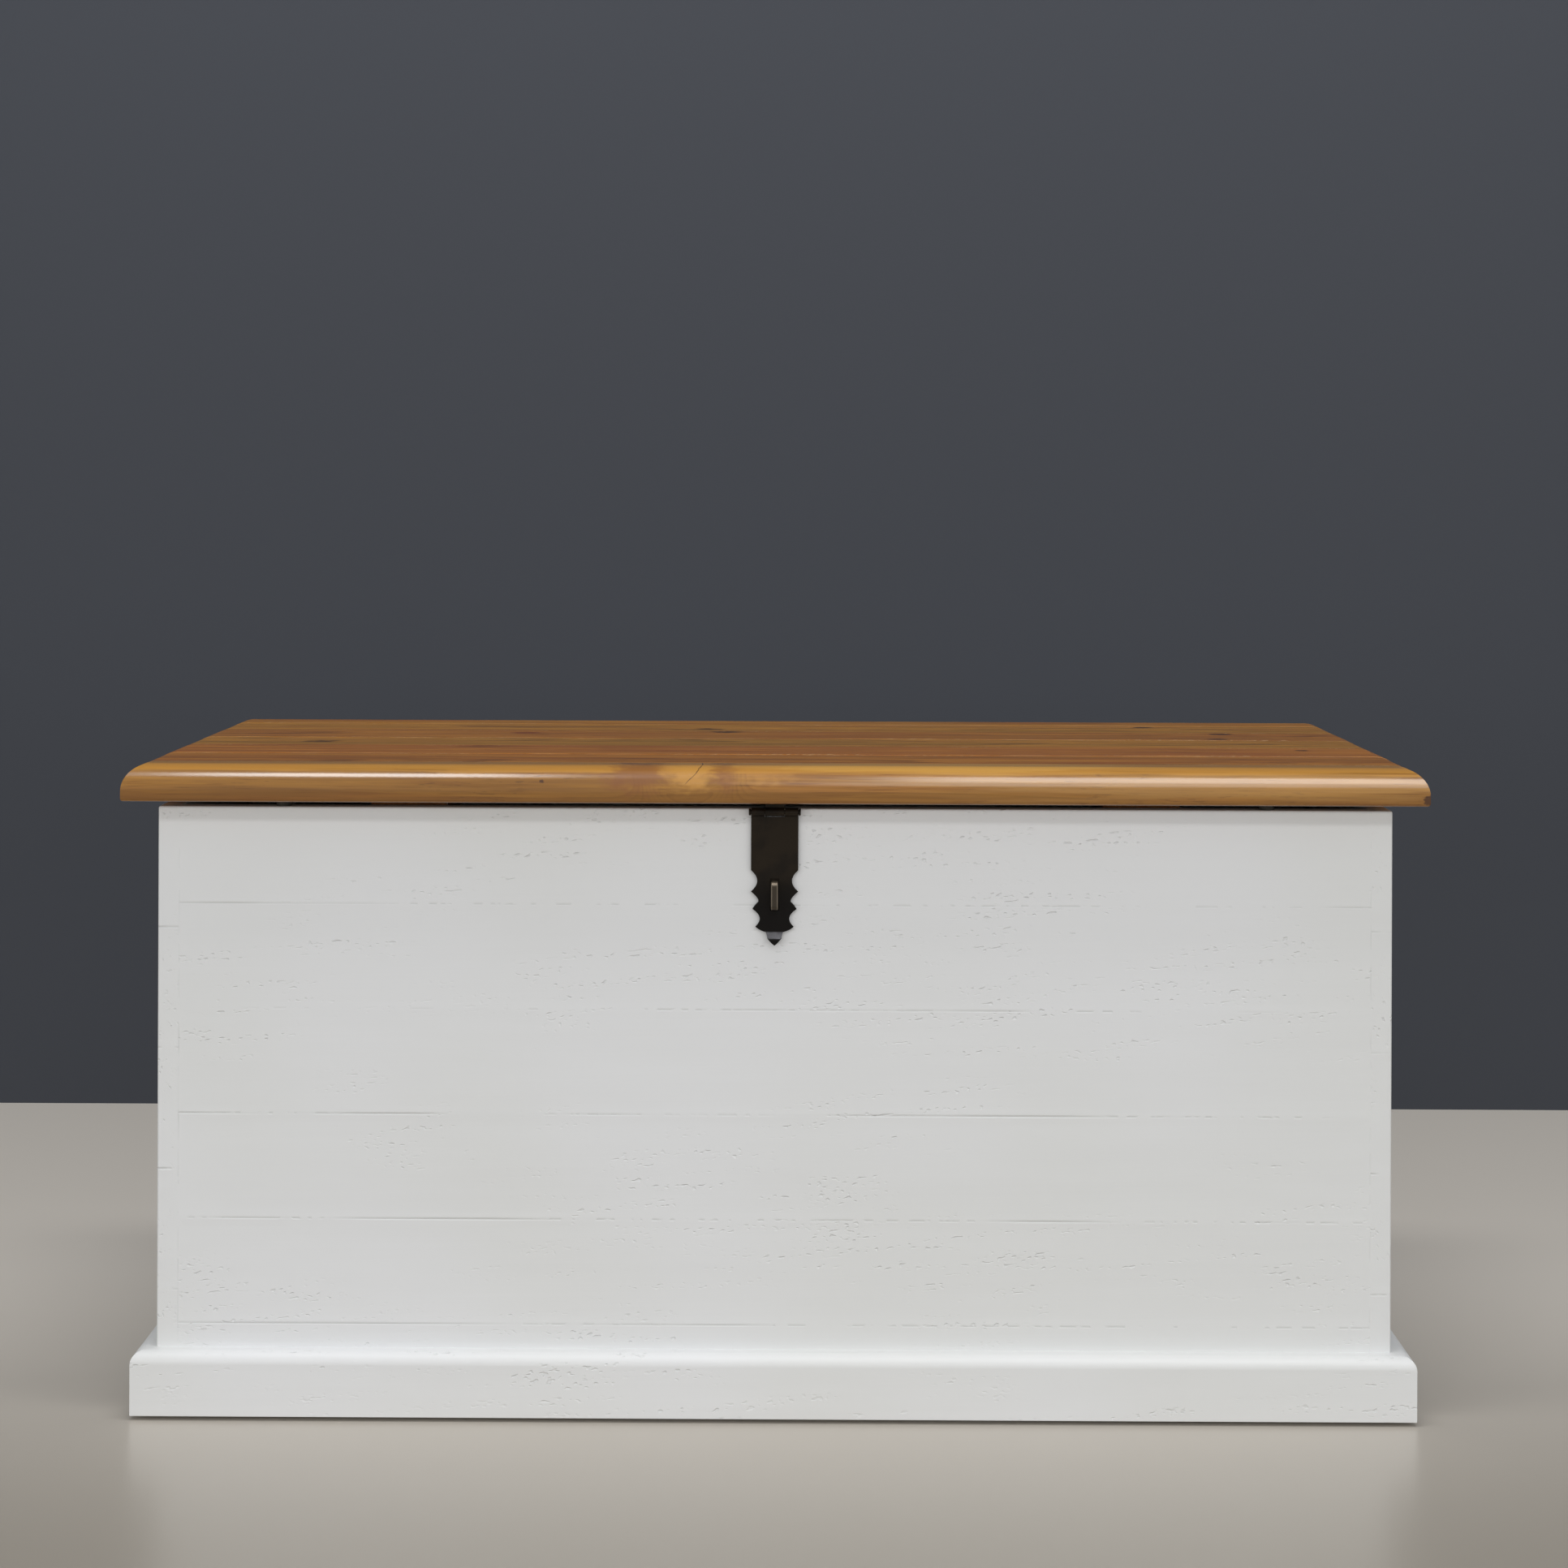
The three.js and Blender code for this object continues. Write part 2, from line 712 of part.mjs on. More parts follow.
function haspAndStaple() {
  const group = new THREE.Group();
  const hung = new THREE.Group();
  hung.position.set(0, haspY, haspZ);
  group.add(hung);
  piece(hung, 'hasp_lid_leaf', haspLeaf(), darkIron);
  piece(hung, 'hasp_pin', haspPin(), darkIron);
  piece(hung, 'hasp_strap', haspStrap(), darkIron);
  const plateY = frontFace - staplePlateThickness / 2;
  const level = haspZ - stapleDrop;
  piece(group, 'staple_plate', staplePlate(), darkIron, 0, plateY, level);
  piece(group, 'staple', staple(), darkIron, 0, frontFace - staplePlateThickness, level);
  return group;
}

// Sliding lid stay: the arm hangs from a rivet under the lid, and its slot runs over a stud on
// the side wall. Rivet and stud lie at one distance from the hinge axis, so that the arm always
// turns at half the lid's rate.
const rivetAngle = Math.asin(stayPivotDrop / stayRadius);
const rivetY = hingeY - stayRadius * Math.cos(rivetAngle);
const rivetZ = hingeZ - stayPivotDrop;
const studY = hingeY - stayRadius * Math.cos(studAngle);
const studZ = hingeZ - stayRadius * Math.sin(studAngle);
const closedChord = stayRadius * 2 * Math.sin((studAngle - rivetAngle) / 2);
const openChord = stayRadius * 2 * Math.sin((studAngle - rivetAngle + lidOpening) / 2);
const slotHalf = studRadius + slideClearance;

// Places across the stay, inwards from the side wall's inner face
const armOuter = innerHalf - stayThickness - slideClearance;
const armInner = armOuter - stayThickness;
const bracketFace = armInner - slideClearance;

function stayArm() {
  const half = stayWidth / 2;
  const slotStart = closedChord - slideClearance;
  const slotEnd = openChord + slideClearance;
  const outline = roundedBar(new THREE.Shape(), 0, slotEnd + stayEndMargin, half);
  outline.holes.push(roundHole(0, 0, rivetRadius + boreClearance));
  outline.holes.push(roundedBar(new THREE.Path(), slotStart, slotEnd, slotHalf));
  return turnToX(run(outline, stayThickness));
}

// Lid bracket: an angle with a rivet, its foot screwed under the lid, drawn from the rivet's
// axis with the arm on its +X side
function stayBracket() {
  const rise = lidBottom - rivetZ;
  const upright = new THREE.Shape();
  upright.moveTo(bracketLength / 2, rise);
  upright.lineTo(-bracketLength / 2, rise);
  upright.absarc(0, 0, bracketFoot - rise, Math.PI, Math.PI * 2, false);
  upright.closePath();
  const web = turnToX(run(upright, stayThickness)).translate(-stayThickness / 2, 0, 0);
  const foot = run(rectangle(bracketFlange, bracketLength), stayThickness);
  foot.translate(-bracketFlange / 2, 0, rise - stayThickness / 2);
  const headStart = stayThickness + slideClearance * 2;
  const rivet = turned([
    [0, -stayThickness / 2],
    [rivetRadius, -stayThickness / 2],
    [rivetRadius, headStart],
    [rivetHeadRadius, headStart],
    [rivetHeadRadius, headStart + rivetHeadThickness / 2],
    [rivetHeadRadius / 2, headStart + rivetHeadThickness],
    [0, headStart + rivetHeadThickness],
  ]).rotateY(Math.PI / 2);
  const holeX = -bracketFlange * bracketHoleShare;
  const holeY = bracketLength / 2 * bracketHoleShare;
  const holes = [-1, 1].map((side) => screwSpace(stayThickness).rotateX(Math.PI)
    .translate(holeX, side * holeY, rise - stayThickness));
  return cut(joined(web, foot, rivet), ...holes);
}

// Stud plate on the side wall, drawn from the wall's face with the stud towards -X
function stayStud() {
  const half = studPlateWidth / 2;
  const end = studPlateHeight / 2 - half;
  const plate = turnToX(run(roundedBar(new THREE.Shape(), -end, end, half), stayThickness));
  plate.rotateX(Math.PI / 2).translate(-stayThickness / 2, 0, 0);
  const headStart = stayThickness * 2 + slideClearance * 2;
  const stud = turned([
    [0, stayThickness / 2],
    [studRadius, stayThickness / 2],
    [studRadius, headStart],
    [studHeadRadius, headStart],
    [studHeadRadius, headStart + studHeadThickness / 2],
    [studHeadRadius - studHeadThickness / 2, headStart + studHeadThickness],
    [0, headStart + studHeadThickness],
  ]).rotateY(-Math.PI / 2);
  const holes = [-1, 1].map((side) => screwSpace(stayThickness).rotateY(-Math.PI / 2)
    .translate(-stayThickness, 0, side * end));
  return cut(joined(plate, stud), ...holes);
}

// One stay; the left one is the right one turned about Z and set the other way round
function lidStay(side, sign) {
  const group = new THREE.Group();
  const facing = (geometry) => (sign > 0 ? geometry : mirroredX(geometry));
  const arm = stayArm();
  const armMiddle = sign * (armInner + armOuter) / 2;
  const armMesh = piece(group, `${side}_stay_arm`, arm, zincSteel, armMiddle, rivetY, rivetZ);
  armMesh.rotation.x = Math.atan2(studZ - rivetZ, studY - rivetY);
  const bracket = facing(stayBracket());
  piece(group, `${side}_stay_bracket`, bracket, zincSteel, sign * bracketFace, rivetY, rivetZ);
  const stud = facing(stayStud());
  piece(group, `${side}_stay_stud`, stud, zincSteel, sign * innerHalf, studY, studZ);
  return group;
}

// A left-hand piece is the right-hand one mirrored, with its faces turned out again
function mirroredX(geometry) {
  const mirrored = geometry.scale(-1, 1, 1);
  const place = mirrored.attributes.position;
  const first = new THREE.Vector3();
  const second = new THREE.Vector3();
  for (let i = 0; i < place.count; i += 3) {
    first.fromBufferAttribute(place, i);
    second.fromBufferAttribute(place, i + 1);
    place.setXYZ(i, second.x, second.y, second.z);
    place.setXYZ(i + 1, first.x, first.y, first.z);
  }
  mirrored.computeVertexNormals();
  return mirrored;
}

// Assembly
const hingeX = bodyHalf * hingePlaceShare;
const chest = new THREE.Group();
chest.add(walls(), bottom(), plinth(), glides(), bumpers());
chest.add(lidBoards(), battens());
chest.add(buttHinge('left', -hingeX), buttHinge('right', hingeX));
chest.add(haspAndStaple());
chest.add(lidStay('left', -1), lidStay('right', 1));

export default chest;
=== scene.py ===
import math

import bmesh
import bpy
from mathutils import Matrix, Vector


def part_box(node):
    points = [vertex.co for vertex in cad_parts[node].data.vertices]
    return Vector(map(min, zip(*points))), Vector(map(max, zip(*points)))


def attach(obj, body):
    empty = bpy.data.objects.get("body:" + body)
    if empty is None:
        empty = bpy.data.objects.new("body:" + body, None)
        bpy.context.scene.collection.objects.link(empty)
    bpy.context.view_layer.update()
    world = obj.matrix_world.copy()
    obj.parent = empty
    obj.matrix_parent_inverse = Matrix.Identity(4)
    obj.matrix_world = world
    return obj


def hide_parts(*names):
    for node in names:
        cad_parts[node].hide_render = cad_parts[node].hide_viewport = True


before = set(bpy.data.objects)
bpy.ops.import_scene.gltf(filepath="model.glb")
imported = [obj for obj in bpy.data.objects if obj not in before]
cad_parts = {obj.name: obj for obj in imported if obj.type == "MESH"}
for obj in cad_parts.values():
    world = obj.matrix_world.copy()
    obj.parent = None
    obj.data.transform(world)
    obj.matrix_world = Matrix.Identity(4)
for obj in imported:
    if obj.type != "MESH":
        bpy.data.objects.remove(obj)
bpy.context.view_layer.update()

# Wall boards.
# Planed pine, edge glued flush, filled and brushed with two coats of off-white satin acrylic.
# The paint bridges the joints, which show again as fine broken cracks, and it sinks into small pits.
MM = 0.001
TOUCH = 0.01 * MM
WALL_ARRIS = 1.6 * MM
WALL_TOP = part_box("front_board_1")[1].z
NO_JOINT = 1000.0
END_JOINT_DEEPER = 0.28
PAINT = "#e6e7e8"
PAINT_WARM = "#e3e4e3"
CRACK = "#8b8984"
CRACK_SHARE = 0.42
SMOOTH_STEP = {"interpolation_type": "SMOOTHSTEP"}
COLOUR_MIX = {"data_type": "RGBA", "out": 2}


def linear(code):
    """An sRGB hex colour as linear red, green, blue and alpha."""
    parts = [int(code[i:i + 2], 16) / 255 for i in (1, 3, 5)]
    return [p / 12.92 if p <= 0.04045 else ((p + 0.055) / 1.055) ** 2.4 for p in parts] + [1.0]


def fill(tree, made, inputs):
    """Links or sets a node's inputs, which are named or in the node's own order."""
    named = inputs if isinstance(inputs, dict) else dict(enumerate(inputs))
    for key, value in named.items():
        if isinstance(value, bpy.types.NodeSocket):
            tree.links.new(value, made.inputs[key])
        else:
            made.inputs[key].default_value = value


def node(tree, kind, inputs=(), out=0, **settings):
    """Adds one node, with its settings and its links or values, and gives its output."""
    made = tree.nodes.new("ShaderNode" + kind)
    for name, value in settings.items():
        setattr(made, name, value)
    fill(tree, made, inputs)
    return made.outputs[out]


def new_material(name):
    """A new material, its node tree and its shader."""
    material = bpy.data.materials.new(name)
    material.use_nodes = True
    tree = material.node_tree
    return material, tree, tree.nodes["Principled BSDF"]


def streaks(tree, mm, lengths, start, detail, turn, out=0):
    """A wood pattern: noise whose marks have the given lengths along X, Y and Z, in millimetres."""
    turned = node(tree, "Mapping", {"Vector": mm, "Rotation": turn})
    scale = [1 / length for length in lengths]
    drawn = node(tree, "Mapping", {"Vector": turned, "Scale": scale, "Location": start})
    return node(tree, "TexNoise", {"Vector": drawn, "Scale": 1.0, "Detail": detail}, out=out)


def joint_distance(tree):
    """Distance to the board's nearer glue joint, in millimetres."""
    low = node(tree, "Attribute", attribute_name="joint_low", out="Fac")
    high = node(tree, "Attribute", attribute_name="joint_high", out="Fac")
    return node(tree, "Math", (low, high), operation="MINIMUM")


def brushed_paint(name, along, board_end=None):
    """Satin paint over planed pine. Nearly one colour, it shows the wood by its relief: waves from
    the plane, brush marks, cracks over the joints, and pits. along is 1 on the axis that the grain
    follows, and board_end is how far from the middle the boards butt against the side walls, in
    millimetres. The real pits are about half a millimetre high: they are drawn at twice that, so
    that the render shows them."""
    material, tree, surface = new_material(name)
    place = node(tree, "TexCoord", out="Object")
    mm = node(tree, "VectorMath", {0: place, "Scale": 1 / MM}, operation="SCALE")

    def grained(length, width, start, detail=1.0, slope=0.0):
        """Streaks along the grain, of this length and width."""
        lengths = [length if a else width for a in along]
        return streaks(tree, mm, lengths, (start, start, start), detail, (0.0, slope, 0.0))

    # Joints: a crack that opens here and there, a row of short nicks, and a soft lip beside them
    near = joint_distance(tree)
    if board_end:
        from_middle = node(tree, "Math", [node(tree, "SeparateXYZ", [mm])], operation="ABSOLUTE")
        from_end = node(tree, "Math", (board_end + END_JOINT_DEEPER, from_middle), operation="SUBTRACT")
        near = node(tree, "Math", (near, from_end), operation="MINIMUM")
    nick_rows = node(tree, "MapRange", (grained(130, 40, 7.5), 0.34, 0.50, 0.0, 0.6), **SMOOTH_STEP)
    nicks = node(tree, "MapRange", (grained(9, 12, 6.5), 0.48, 0.58, 0.0, nick_rows), **SMOOTH_STEP)
    long_cracks = node(tree, "MapRange", (grained(150, 30, 5.5), 0.50, 0.68), **SMOOTH_STEP)
    opened = node(tree, "Math", (long_cracks, nicks), operation="MAXIMUM")
    crack = node(tree, "MapRange", (near, 0.1, 0.45, opened, 0.0), **SMOOTH_STEP)
    groove = node(tree, "MapRange", (near, 0.2, 1.3, opened, 0.0), **SMOOTH_STEP)
    lip = node(tree, "MapRange", (near, 0.5, 7.0, grained(120, 25, 8.8), 0.0), **SMOOTH_STEP)

    # Relief: waves from the plane, grain and brush marks, and pits in rows along the grain
    waves = grained(300, 52, 3.1, 2.0)
    grain = grained(240, 6, 1.3, 4.0, 0.02)
    zones = node(tree, "MapRange", (grained(200, 80, 14.2), 0.42, 0.58), **SMOOTH_STEP)
    rows = node(tree, "MapRange", (grained(70, 7, 3.7, 1.0, 0.06), 0.52, 0.66, 0.0, zones), **SMOOTH_STEP)
    dots = grained(4.2, 2.0, 11.9, 0.0, 0.12)
    pits = node(tree, "MapRange", (dots, 0.60, 0.80, 0.0, rows), **SMOOTH_STEP)
    height = 0.0
    for part, amount in ((waves, 1.2), (grain, 0.1), (lip, 0.18), (groove, -0.38), (pits, -0.56)):
        height = node(tree, "Math", (part, amount, height), operation="MULTIPLY_ADD")
    normal = node(tree, "Bump", {"Height": height, "Distance": MM, "Strength": 1.0})

    cloud = node(tree, "TexNoise", {"Vector": place, "Scale": 1 / (260 * MM), "Detail": 1.0})
    warm = node(tree, "MapRange", (cloud, 0.35, 0.65), **SMOOTH_STEP)
    coat = node(tree, "Mix", {0: warm, 6: linear(PAINT), 7: linear(PAINT_WARM)}, **COLOUR_MIX)
    share = node(tree, "Math", (crack, CRACK_SHARE), operation="MULTIPLY")
    colour = node(tree, "Mix", {0: share, 6: coat, 7: linear(CRACK)}, **COLOUR_MIX)
    gloss = node(tree, "MapRange", (grain, 0.3, 0.7, 0.42, 0.5), **SMOOTH_STEP)
    fill(tree, surface, {"Base Color": colour, "Roughness": gloss, "Normal": normal, "IOR": 1.48})
    return material


def box_mesh(low, high):
    """A bmesh of the block between two corners."""
    bm = bmesh.new()
    bmesh.ops.create_cube(bm, size=1.0)
    size = high - low
    bmesh.ops.scale(bm, vec=size, verts=bm.verts)
    bmesh.ops.translate(bm, vec=(low + high) / 2, verts=bm.verts)
    return bm


def soften(bm, edges, radius, segments):
    """Rounds these edges."""
    bmesh.ops.bevel(bm, geom=edges, offset=radius, offset_type="OFFSET", affect="EDGES",
                    segments=segments, profile=0.5, material=-1, clamp_overlap=True)


def set_shading(bm, angle):
    """Smooth faces, with the edges that are sharper than the angle left sharp."""
    for face in bm.faces:
        face.smooth = True
    for edge in bm.edges:
        edge.smooth = len(edge.link_faces) == 2 and edge.calc_face_angle(0) < math.radians(angle)


def piece(bm, name, material, body, nodes=(), angle=32):
    """Makes the bmesh a piece of the object: shaded, riding on its body, in place of its nodes."""
    set_shading(bm, angle)
    mesh = bpy.data.meshes.new(name)
    bm.to_mesh(mesh)
    bm.free()
    mesh.materials.append(material)
    made = bpy.data.objects.new(name, mesh)
    bpy.context.scene.collection.objects.link(made)
    weighted = made.modifiers.new("flat_faces", "WEIGHTED_NORMAL")
    weighted.keep_sharp = True
    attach(made, body)
    if nodes:
        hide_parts(*nodes)
    return made


def mark_joints(made, axis, low, high):
    """Stores each point's distance to the lower and the upper glue joint, in millimetres."""
    for name, level, sign in (("joint_low", low, 1), ("joint_high", high, -1)):
        attribute = made.data.attributes.new(name, "FLOAT", "POINT")
        for point, vertex in zip(attribute.data, made.data.vertices):
            point.value = NO_JOINT if level is None else sign * (vertex.co[axis] - level) / MM


inner_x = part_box("right_side_board_1")[0].x
outer_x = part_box("right_side_board_1")[1].x
front_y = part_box("front_board_1")[0].y
back_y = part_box("back_board_1")[1].y
paint_across = brushed_paint("satin_acrylic_on_pine_across", (1, 0, 0), inner_x / MM)
paint_deep = brushed_paint("satin_acrylic_on_pine_deep", (0, 1, 0))


def on_arris(edge):
    """True for an edge on the chest's outside corners or round its top."""
    ends = [v.co for v in edge.verts]

    def on(axis, level):
        return all(abs(e[axis] - level) < TOUCH for e in ends)

    sides = on(0, outer_x) or on(0, -outer_x)
    faces = on(1, front_y) or on(1, back_y)
    return (sides and faces) or (on(2, WALL_TOP) and (sides or faces))


walls = [("front_board", 6, paint_across), ("back_board", 5, paint_across),
         ("left_side_board", 5, paint_deep), ("right_side_board", 5, paint_deep)]
for prefix, count, paint in walls:
    for i in range(1, count + 1):
        board = f"{prefix}_{i}"
        low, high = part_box(board)
        bm = box_mesh(low, high)
        soften(bm, [e for e in bm.edges if on_arris(e)], WALL_ARRIS, 4)
        made = piece(bm, board + "_painted", paint, "chest", [board])
        mark_joints(made, 2, low.z if i < count else None, high.z if i > 1 else None)

# Plinth.
# Three pine boards glued round the foot of the walls, their top edge rounded over with a router,
# mitred at the front corners and painted with the walls.
PLINTH_ROUND = 9.5 * MM
PLINTH_FOOT = 0.8 * MM
MITRE_GAP = 0.08 * MM
CUT_TOUCH = 1e-7
plinth_paint = brushed_paint("satin_acrylic_on_pine_plinth", (1, 0, 0))
front_low, front_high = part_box("plinth_front")
plinth_low = Vector((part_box("plinth_left")[0].x, front_low.y, front_low.z))
plinth_high = Vector((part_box("plinth_right")[1].x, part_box("plinth_left")[1].y, front_high.z))


def plinth_board(inner, direction):
    """A block from the wall's face out to the plinth's face, full length, its outer edges worked."""
    low, high = plinth_low.copy(), plinth_high.copy()
    axis = 0 if direction.x else 1
    if direction[axis] > 0:
        low[axis] = inner
        face_level = high[axis]
    else:
        high[axis] = inner
        face_level = low[axis]
    bm = box_mesh(low, high)

    def outer(edge, level):
        return all(abs(v.co[axis] - face_level) < TOUCH and abs(v.co.z - level) < TOUCH
                   for v in edge.verts)

    soften(bm, [e for e in bm.edges if outer(e, plinth_high.z)], PLINTH_ROUND, 10)
    soften(bm, [e for e in bm.edges if outer(e, plinth_low.z)], PLINTH_FOOT, 2)
    return bm


def saw(bm, point, normal):
    """Cuts off what lies beyond the plane and closes the cut."""
    parts = bm.verts[:] + bm.edges[:] + bm.faces[:]
    cut = bmesh.ops.bisect_plane(bm, geom=parts, dist=CUT_TOUCH, plane_co=point, plane_no=normal,
                                 clear_outer=True)
    edges = [e for e in cut["geom_cut"] if isinstance(e, bmesh.types.BMEdge)]
    bmesh.ops.holes_fill(bm, edges=edges, sides=0)


corner = Vector((outer_x, front_y, 0))
away = MITRE_GAP / 2
for name, inner, direction in (("plinth_front", front_y, Vector((0, -1, 0))),
                               ("plinth_left", -outer_x, Vector((-1, 0, 0))),
                               ("plinth_right", outer_x, Vector((1, 0, 0)))):
    bm = plinth_board(inner, direction)
    for side in (-1, 1):
        if name == "plinth_front":
            normal = Vector((side, 1, 0)).normalized()
        elif direction.x == side:
            normal = Vector((-side, -1, 0)).normalized()
        else:
            continue
        saw(bm, Vector((side * corner.x, corner.y, 0)) - normal * away, normal)
    paint = plinth_paint if name == "plinth_front" else paint_deep
    made = piece(bm, name + "_painted", paint, "chest", [name])
    mark_joints(made, 2, None, None)

# Glides and lid bumpers.
# Moulded dark rubber: the glides are nailed under the walls' corners, and the bumpers are pressed
# into the front wall's top edge.
MOULDED_ARRIS = 0.3 * MM
METAL_ARRIS = 0.25 * MM
MERGE = 1e-6


def moulded_rubber():
    """Dark rubber from a mould: matt, with a fine grit and a little dust."""
    material, tree, surface = new_material("moulded_dark_rubber")
    place = node(tree, "TexCoord", out="Object")
    dust = node(tree, "TexNoise", {"Vector": place, "Scale": 1 / (9 * MM), "Detail": 3.0})
    colour = node(tree, "Mix", {0: dust, 6: linear("#26241f"), 7: linear("#45413a")}, **COLOUR_MIX)
    grit = node(tree, "TexNoise", {"Vector": place, "Scale": 1 / (0.8 * MM)})
    normal = node(tree, "Bump", {"Height": grit, "Distance": 0.05 * MM})
    fill(tree, surface, {"Base Color": colour, "Roughness": 0.85, "Normal": normal})
    return material


def worked_copy(name, made_name, material, body, arris=METAL_ARRIS, segments=2, angle=40):
    """A copy of a node's mesh, its doubles merged and its sharp edges broken a little."""
    bm = bmesh.new()
    bm.from_mesh(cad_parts[name].data)
    bmesh.ops.remove_doubles(bm, verts=bm.verts, dist=MERGE)
    bmesh.ops.dissolve_limit(bm, angle_limit=math.radians(1), verts=bm.verts, edges=bm.edges)
    made = piece(bm, made_name, material, body, [name], angle)
    bevel = made.modifiers.new("broken_arris", "BEVEL")
    bevel.width = arris
    bevel.segments = segments
    bevel.limit_method = "ANGLE"
    bevel.angle_limit = math.radians(angle)
    bevel.use_clamp_overlap = True
    made.modifiers.move(1, 0)
    return made


rubber = moulded_rubber()
for name in ("glide_front_left", "glide_front_right", "glide_back_left", "glide_back_right",
             "lid_bumper_left", "lid_bumper_right"):
    worked_copy(name, name + "_moulded", rubber, "chest", arris=MOULDED_ARRIS)

# Lid boards.
# Flat-sawn pine, edge glued, stained honey brown and finished with satin lacquer. Growth rings run
# as long streaks and arches, and the stain makes sound wood brown, sapwood golden and knots dark.
LID_ROUND = 20 * MM
LID_FOOT = 2.4 * MM
LID_EASE = 0.35 * MM
RING = 3.4
# Pale colour of the lid's joints: glue, and painted highlight of the joint edges.
GLUE_AND_GLEAM = "#d2b183"
RED_STREAK = "#9c4f1f"
FIBRE_SHADE = "#e6e2db"
HAIR_SHADE = "#d3c8b6"
FLECK = "#40240f"
DARK_KNOT = "#3b2012"
SMALL_SPOT = 7.5
BAND = 120


def stained_pine(name, sapwood, heartwood, latewood, pith, drift, seed, spots=(), streak=0.45, red=0.5,
                 coat=0.5, crack=None, across=False):
    """Lacquered pine sawn lengthwise along X. pith is the (y, z) of the tree's middle at x = 0 and
    drift how far it wanders over a metre, both in millimetres. A spot is (centre, half sizes,
    spread, colour, strength): a half size of 0 lets it run right through along that axis, and a
    spread of 0 leaves the rings as they are. streak and red are how strong the rings and the red
    streaks are, and crack is (x, z, lean) of a split in the front edge. across turns the grain along
    Y, and pith is then (x, z). The fibres are drawn two to three times their real width, so that the
    render shows them. The lacquer gives long soft gleams over a nearly matt wood."""
    material, tree, surface = new_material(name)
    place = node(tree, "TexCoord", out="Object")
    mm = node(tree, "VectorMath", {0: place, "Scale": 1 / MM}, operation="SCALE")
    if across:
        mm = node(tree, "CombineXYZ", [node(tree, "SeparateXYZ", [mm], out=axis) for axis in (1, 0, 2)])
    along = node(tree, "SeparateXYZ", [mm])
    height = node(tree, "SeparateXYZ", [mm], out=2)

    def grained(lengths, start, detail=2.0, turn=0.0, out=0):
        """Streaks along the board, from this board's own part of the noise."""
        own_start = (seed + start, seed * 1.7 + start, seed * 2.3)
        return streaks(tree, mm, lengths, own_start, detail, (0.0, 0.0, turn), out)

    # The rings: distance from the pith, bent by slow noise and pushed apart round the knots
    slow = grained((420, 90, 90), 3.1, 1.0, out=1)
    sway = node(tree, "VectorMath", (slow, (0.5, 0.5, 0.5)), operation="SUBTRACT")
    bent = node(tree, "VectorMath", (sway, (0.0, 26.0, 18.0), mm), operation="MULTIPLY_ADD")
    spot_layers = []
    for centre, halves, spread, tint, strength in spots:
        toward = node(tree, "VectorMath", (mm, centre), operation="SUBTRACT")
        if spread:
            pushed = [1 / (half * spread) if half else 0.0 for half in halves]
            reach = node(tree, "VectorMath", (toward, pushed), operation="MULTIPLY")
            far = node(tree, "VectorMath", (reach, reach), operation="DOT_PRODUCT", out="Value")
            push = node(tree, "Math", (1 / math.e, far), operation="POWER")
            sideways = node(tree, "VectorMath", (toward, (0.0, 1.0, 1.0)), operation="MULTIPLY")
            shift = node(tree, "VectorMath", {0: sideways, "Scale": push}, operation="SCALE")
            bent = node(tree, "VectorMath", (bent, shift), operation="SUBTRACT")
        within = [1 / half if half else 0.0 for half in halves]
        near = node(tree, "VectorMath", (toward, within), operation="MULTIPLY")
        size = node(tree, "VectorMath", [near], operation="LENGTH", out="Value")
        small = min(half for half in halves if half)
        fray, fade = (0.5, 0.2) if small < SMALL_SPOT else (0.8, 0.55)
        drawn_out = small * 1.2 if halves[0] and halves[0] < BAND else BAND
        edge = grained((drawn_out, small * 0.6, small * 0.6), 5.0)
        edge = node(tree, "MapRange", (edge, 0.0, 1.0, -fray, fray), **SMOOTH_STEP)
        ragged = node(tree, "Math", (size, edge), operation="ADD")
        spot_share = node(tree, "MapRange", (ragged, 1 - fade, 1 + fade, strength, 0.0), **SMOOTH_STEP)
        spot_layers.append((spot_share, tint, "MIX"))
    wander = (0.0, drift[0] / 1000, drift[1] / 1000)
    lean = node(tree, "VectorMath", {0: wander, "Scale": along}, operation="SCALE")
    section = node(tree, "VectorMath", (bent, (0.0, 1.0, 1.0), lean), operation="MULTIPLY_ADD")
    from_pith = node(tree, "VectorMath", (section, (0.0, *pith)), operation="SUBTRACT")
    radius = node(tree, "VectorMath", [from_pith], operation="LENGTH", out="Value")
    rings = node(tree, "Math", (radius, RING), operation="DIVIDE")
    rings = node(tree, "Math", (grained((500, 14, 14), 8.0), 1.6, rings), operation="MULTIPLY_ADD")
    season = node(tree, "Math", [rings], operation="FRACT")
    rising = node(tree, "MapRange", (season, 0.35, 0.88), **SMOOTH_STEP)
    late = node(tree, "MapRange", (season, 0.93, 1.0, rising, 0.0), **SMOOTH_STEP)
    whole = node(tree, "Math", [rings], operation="FLOOR")
    year = node(tree, "TexWhiteNoise", {"W": whole}, noise_dimensions="1D")

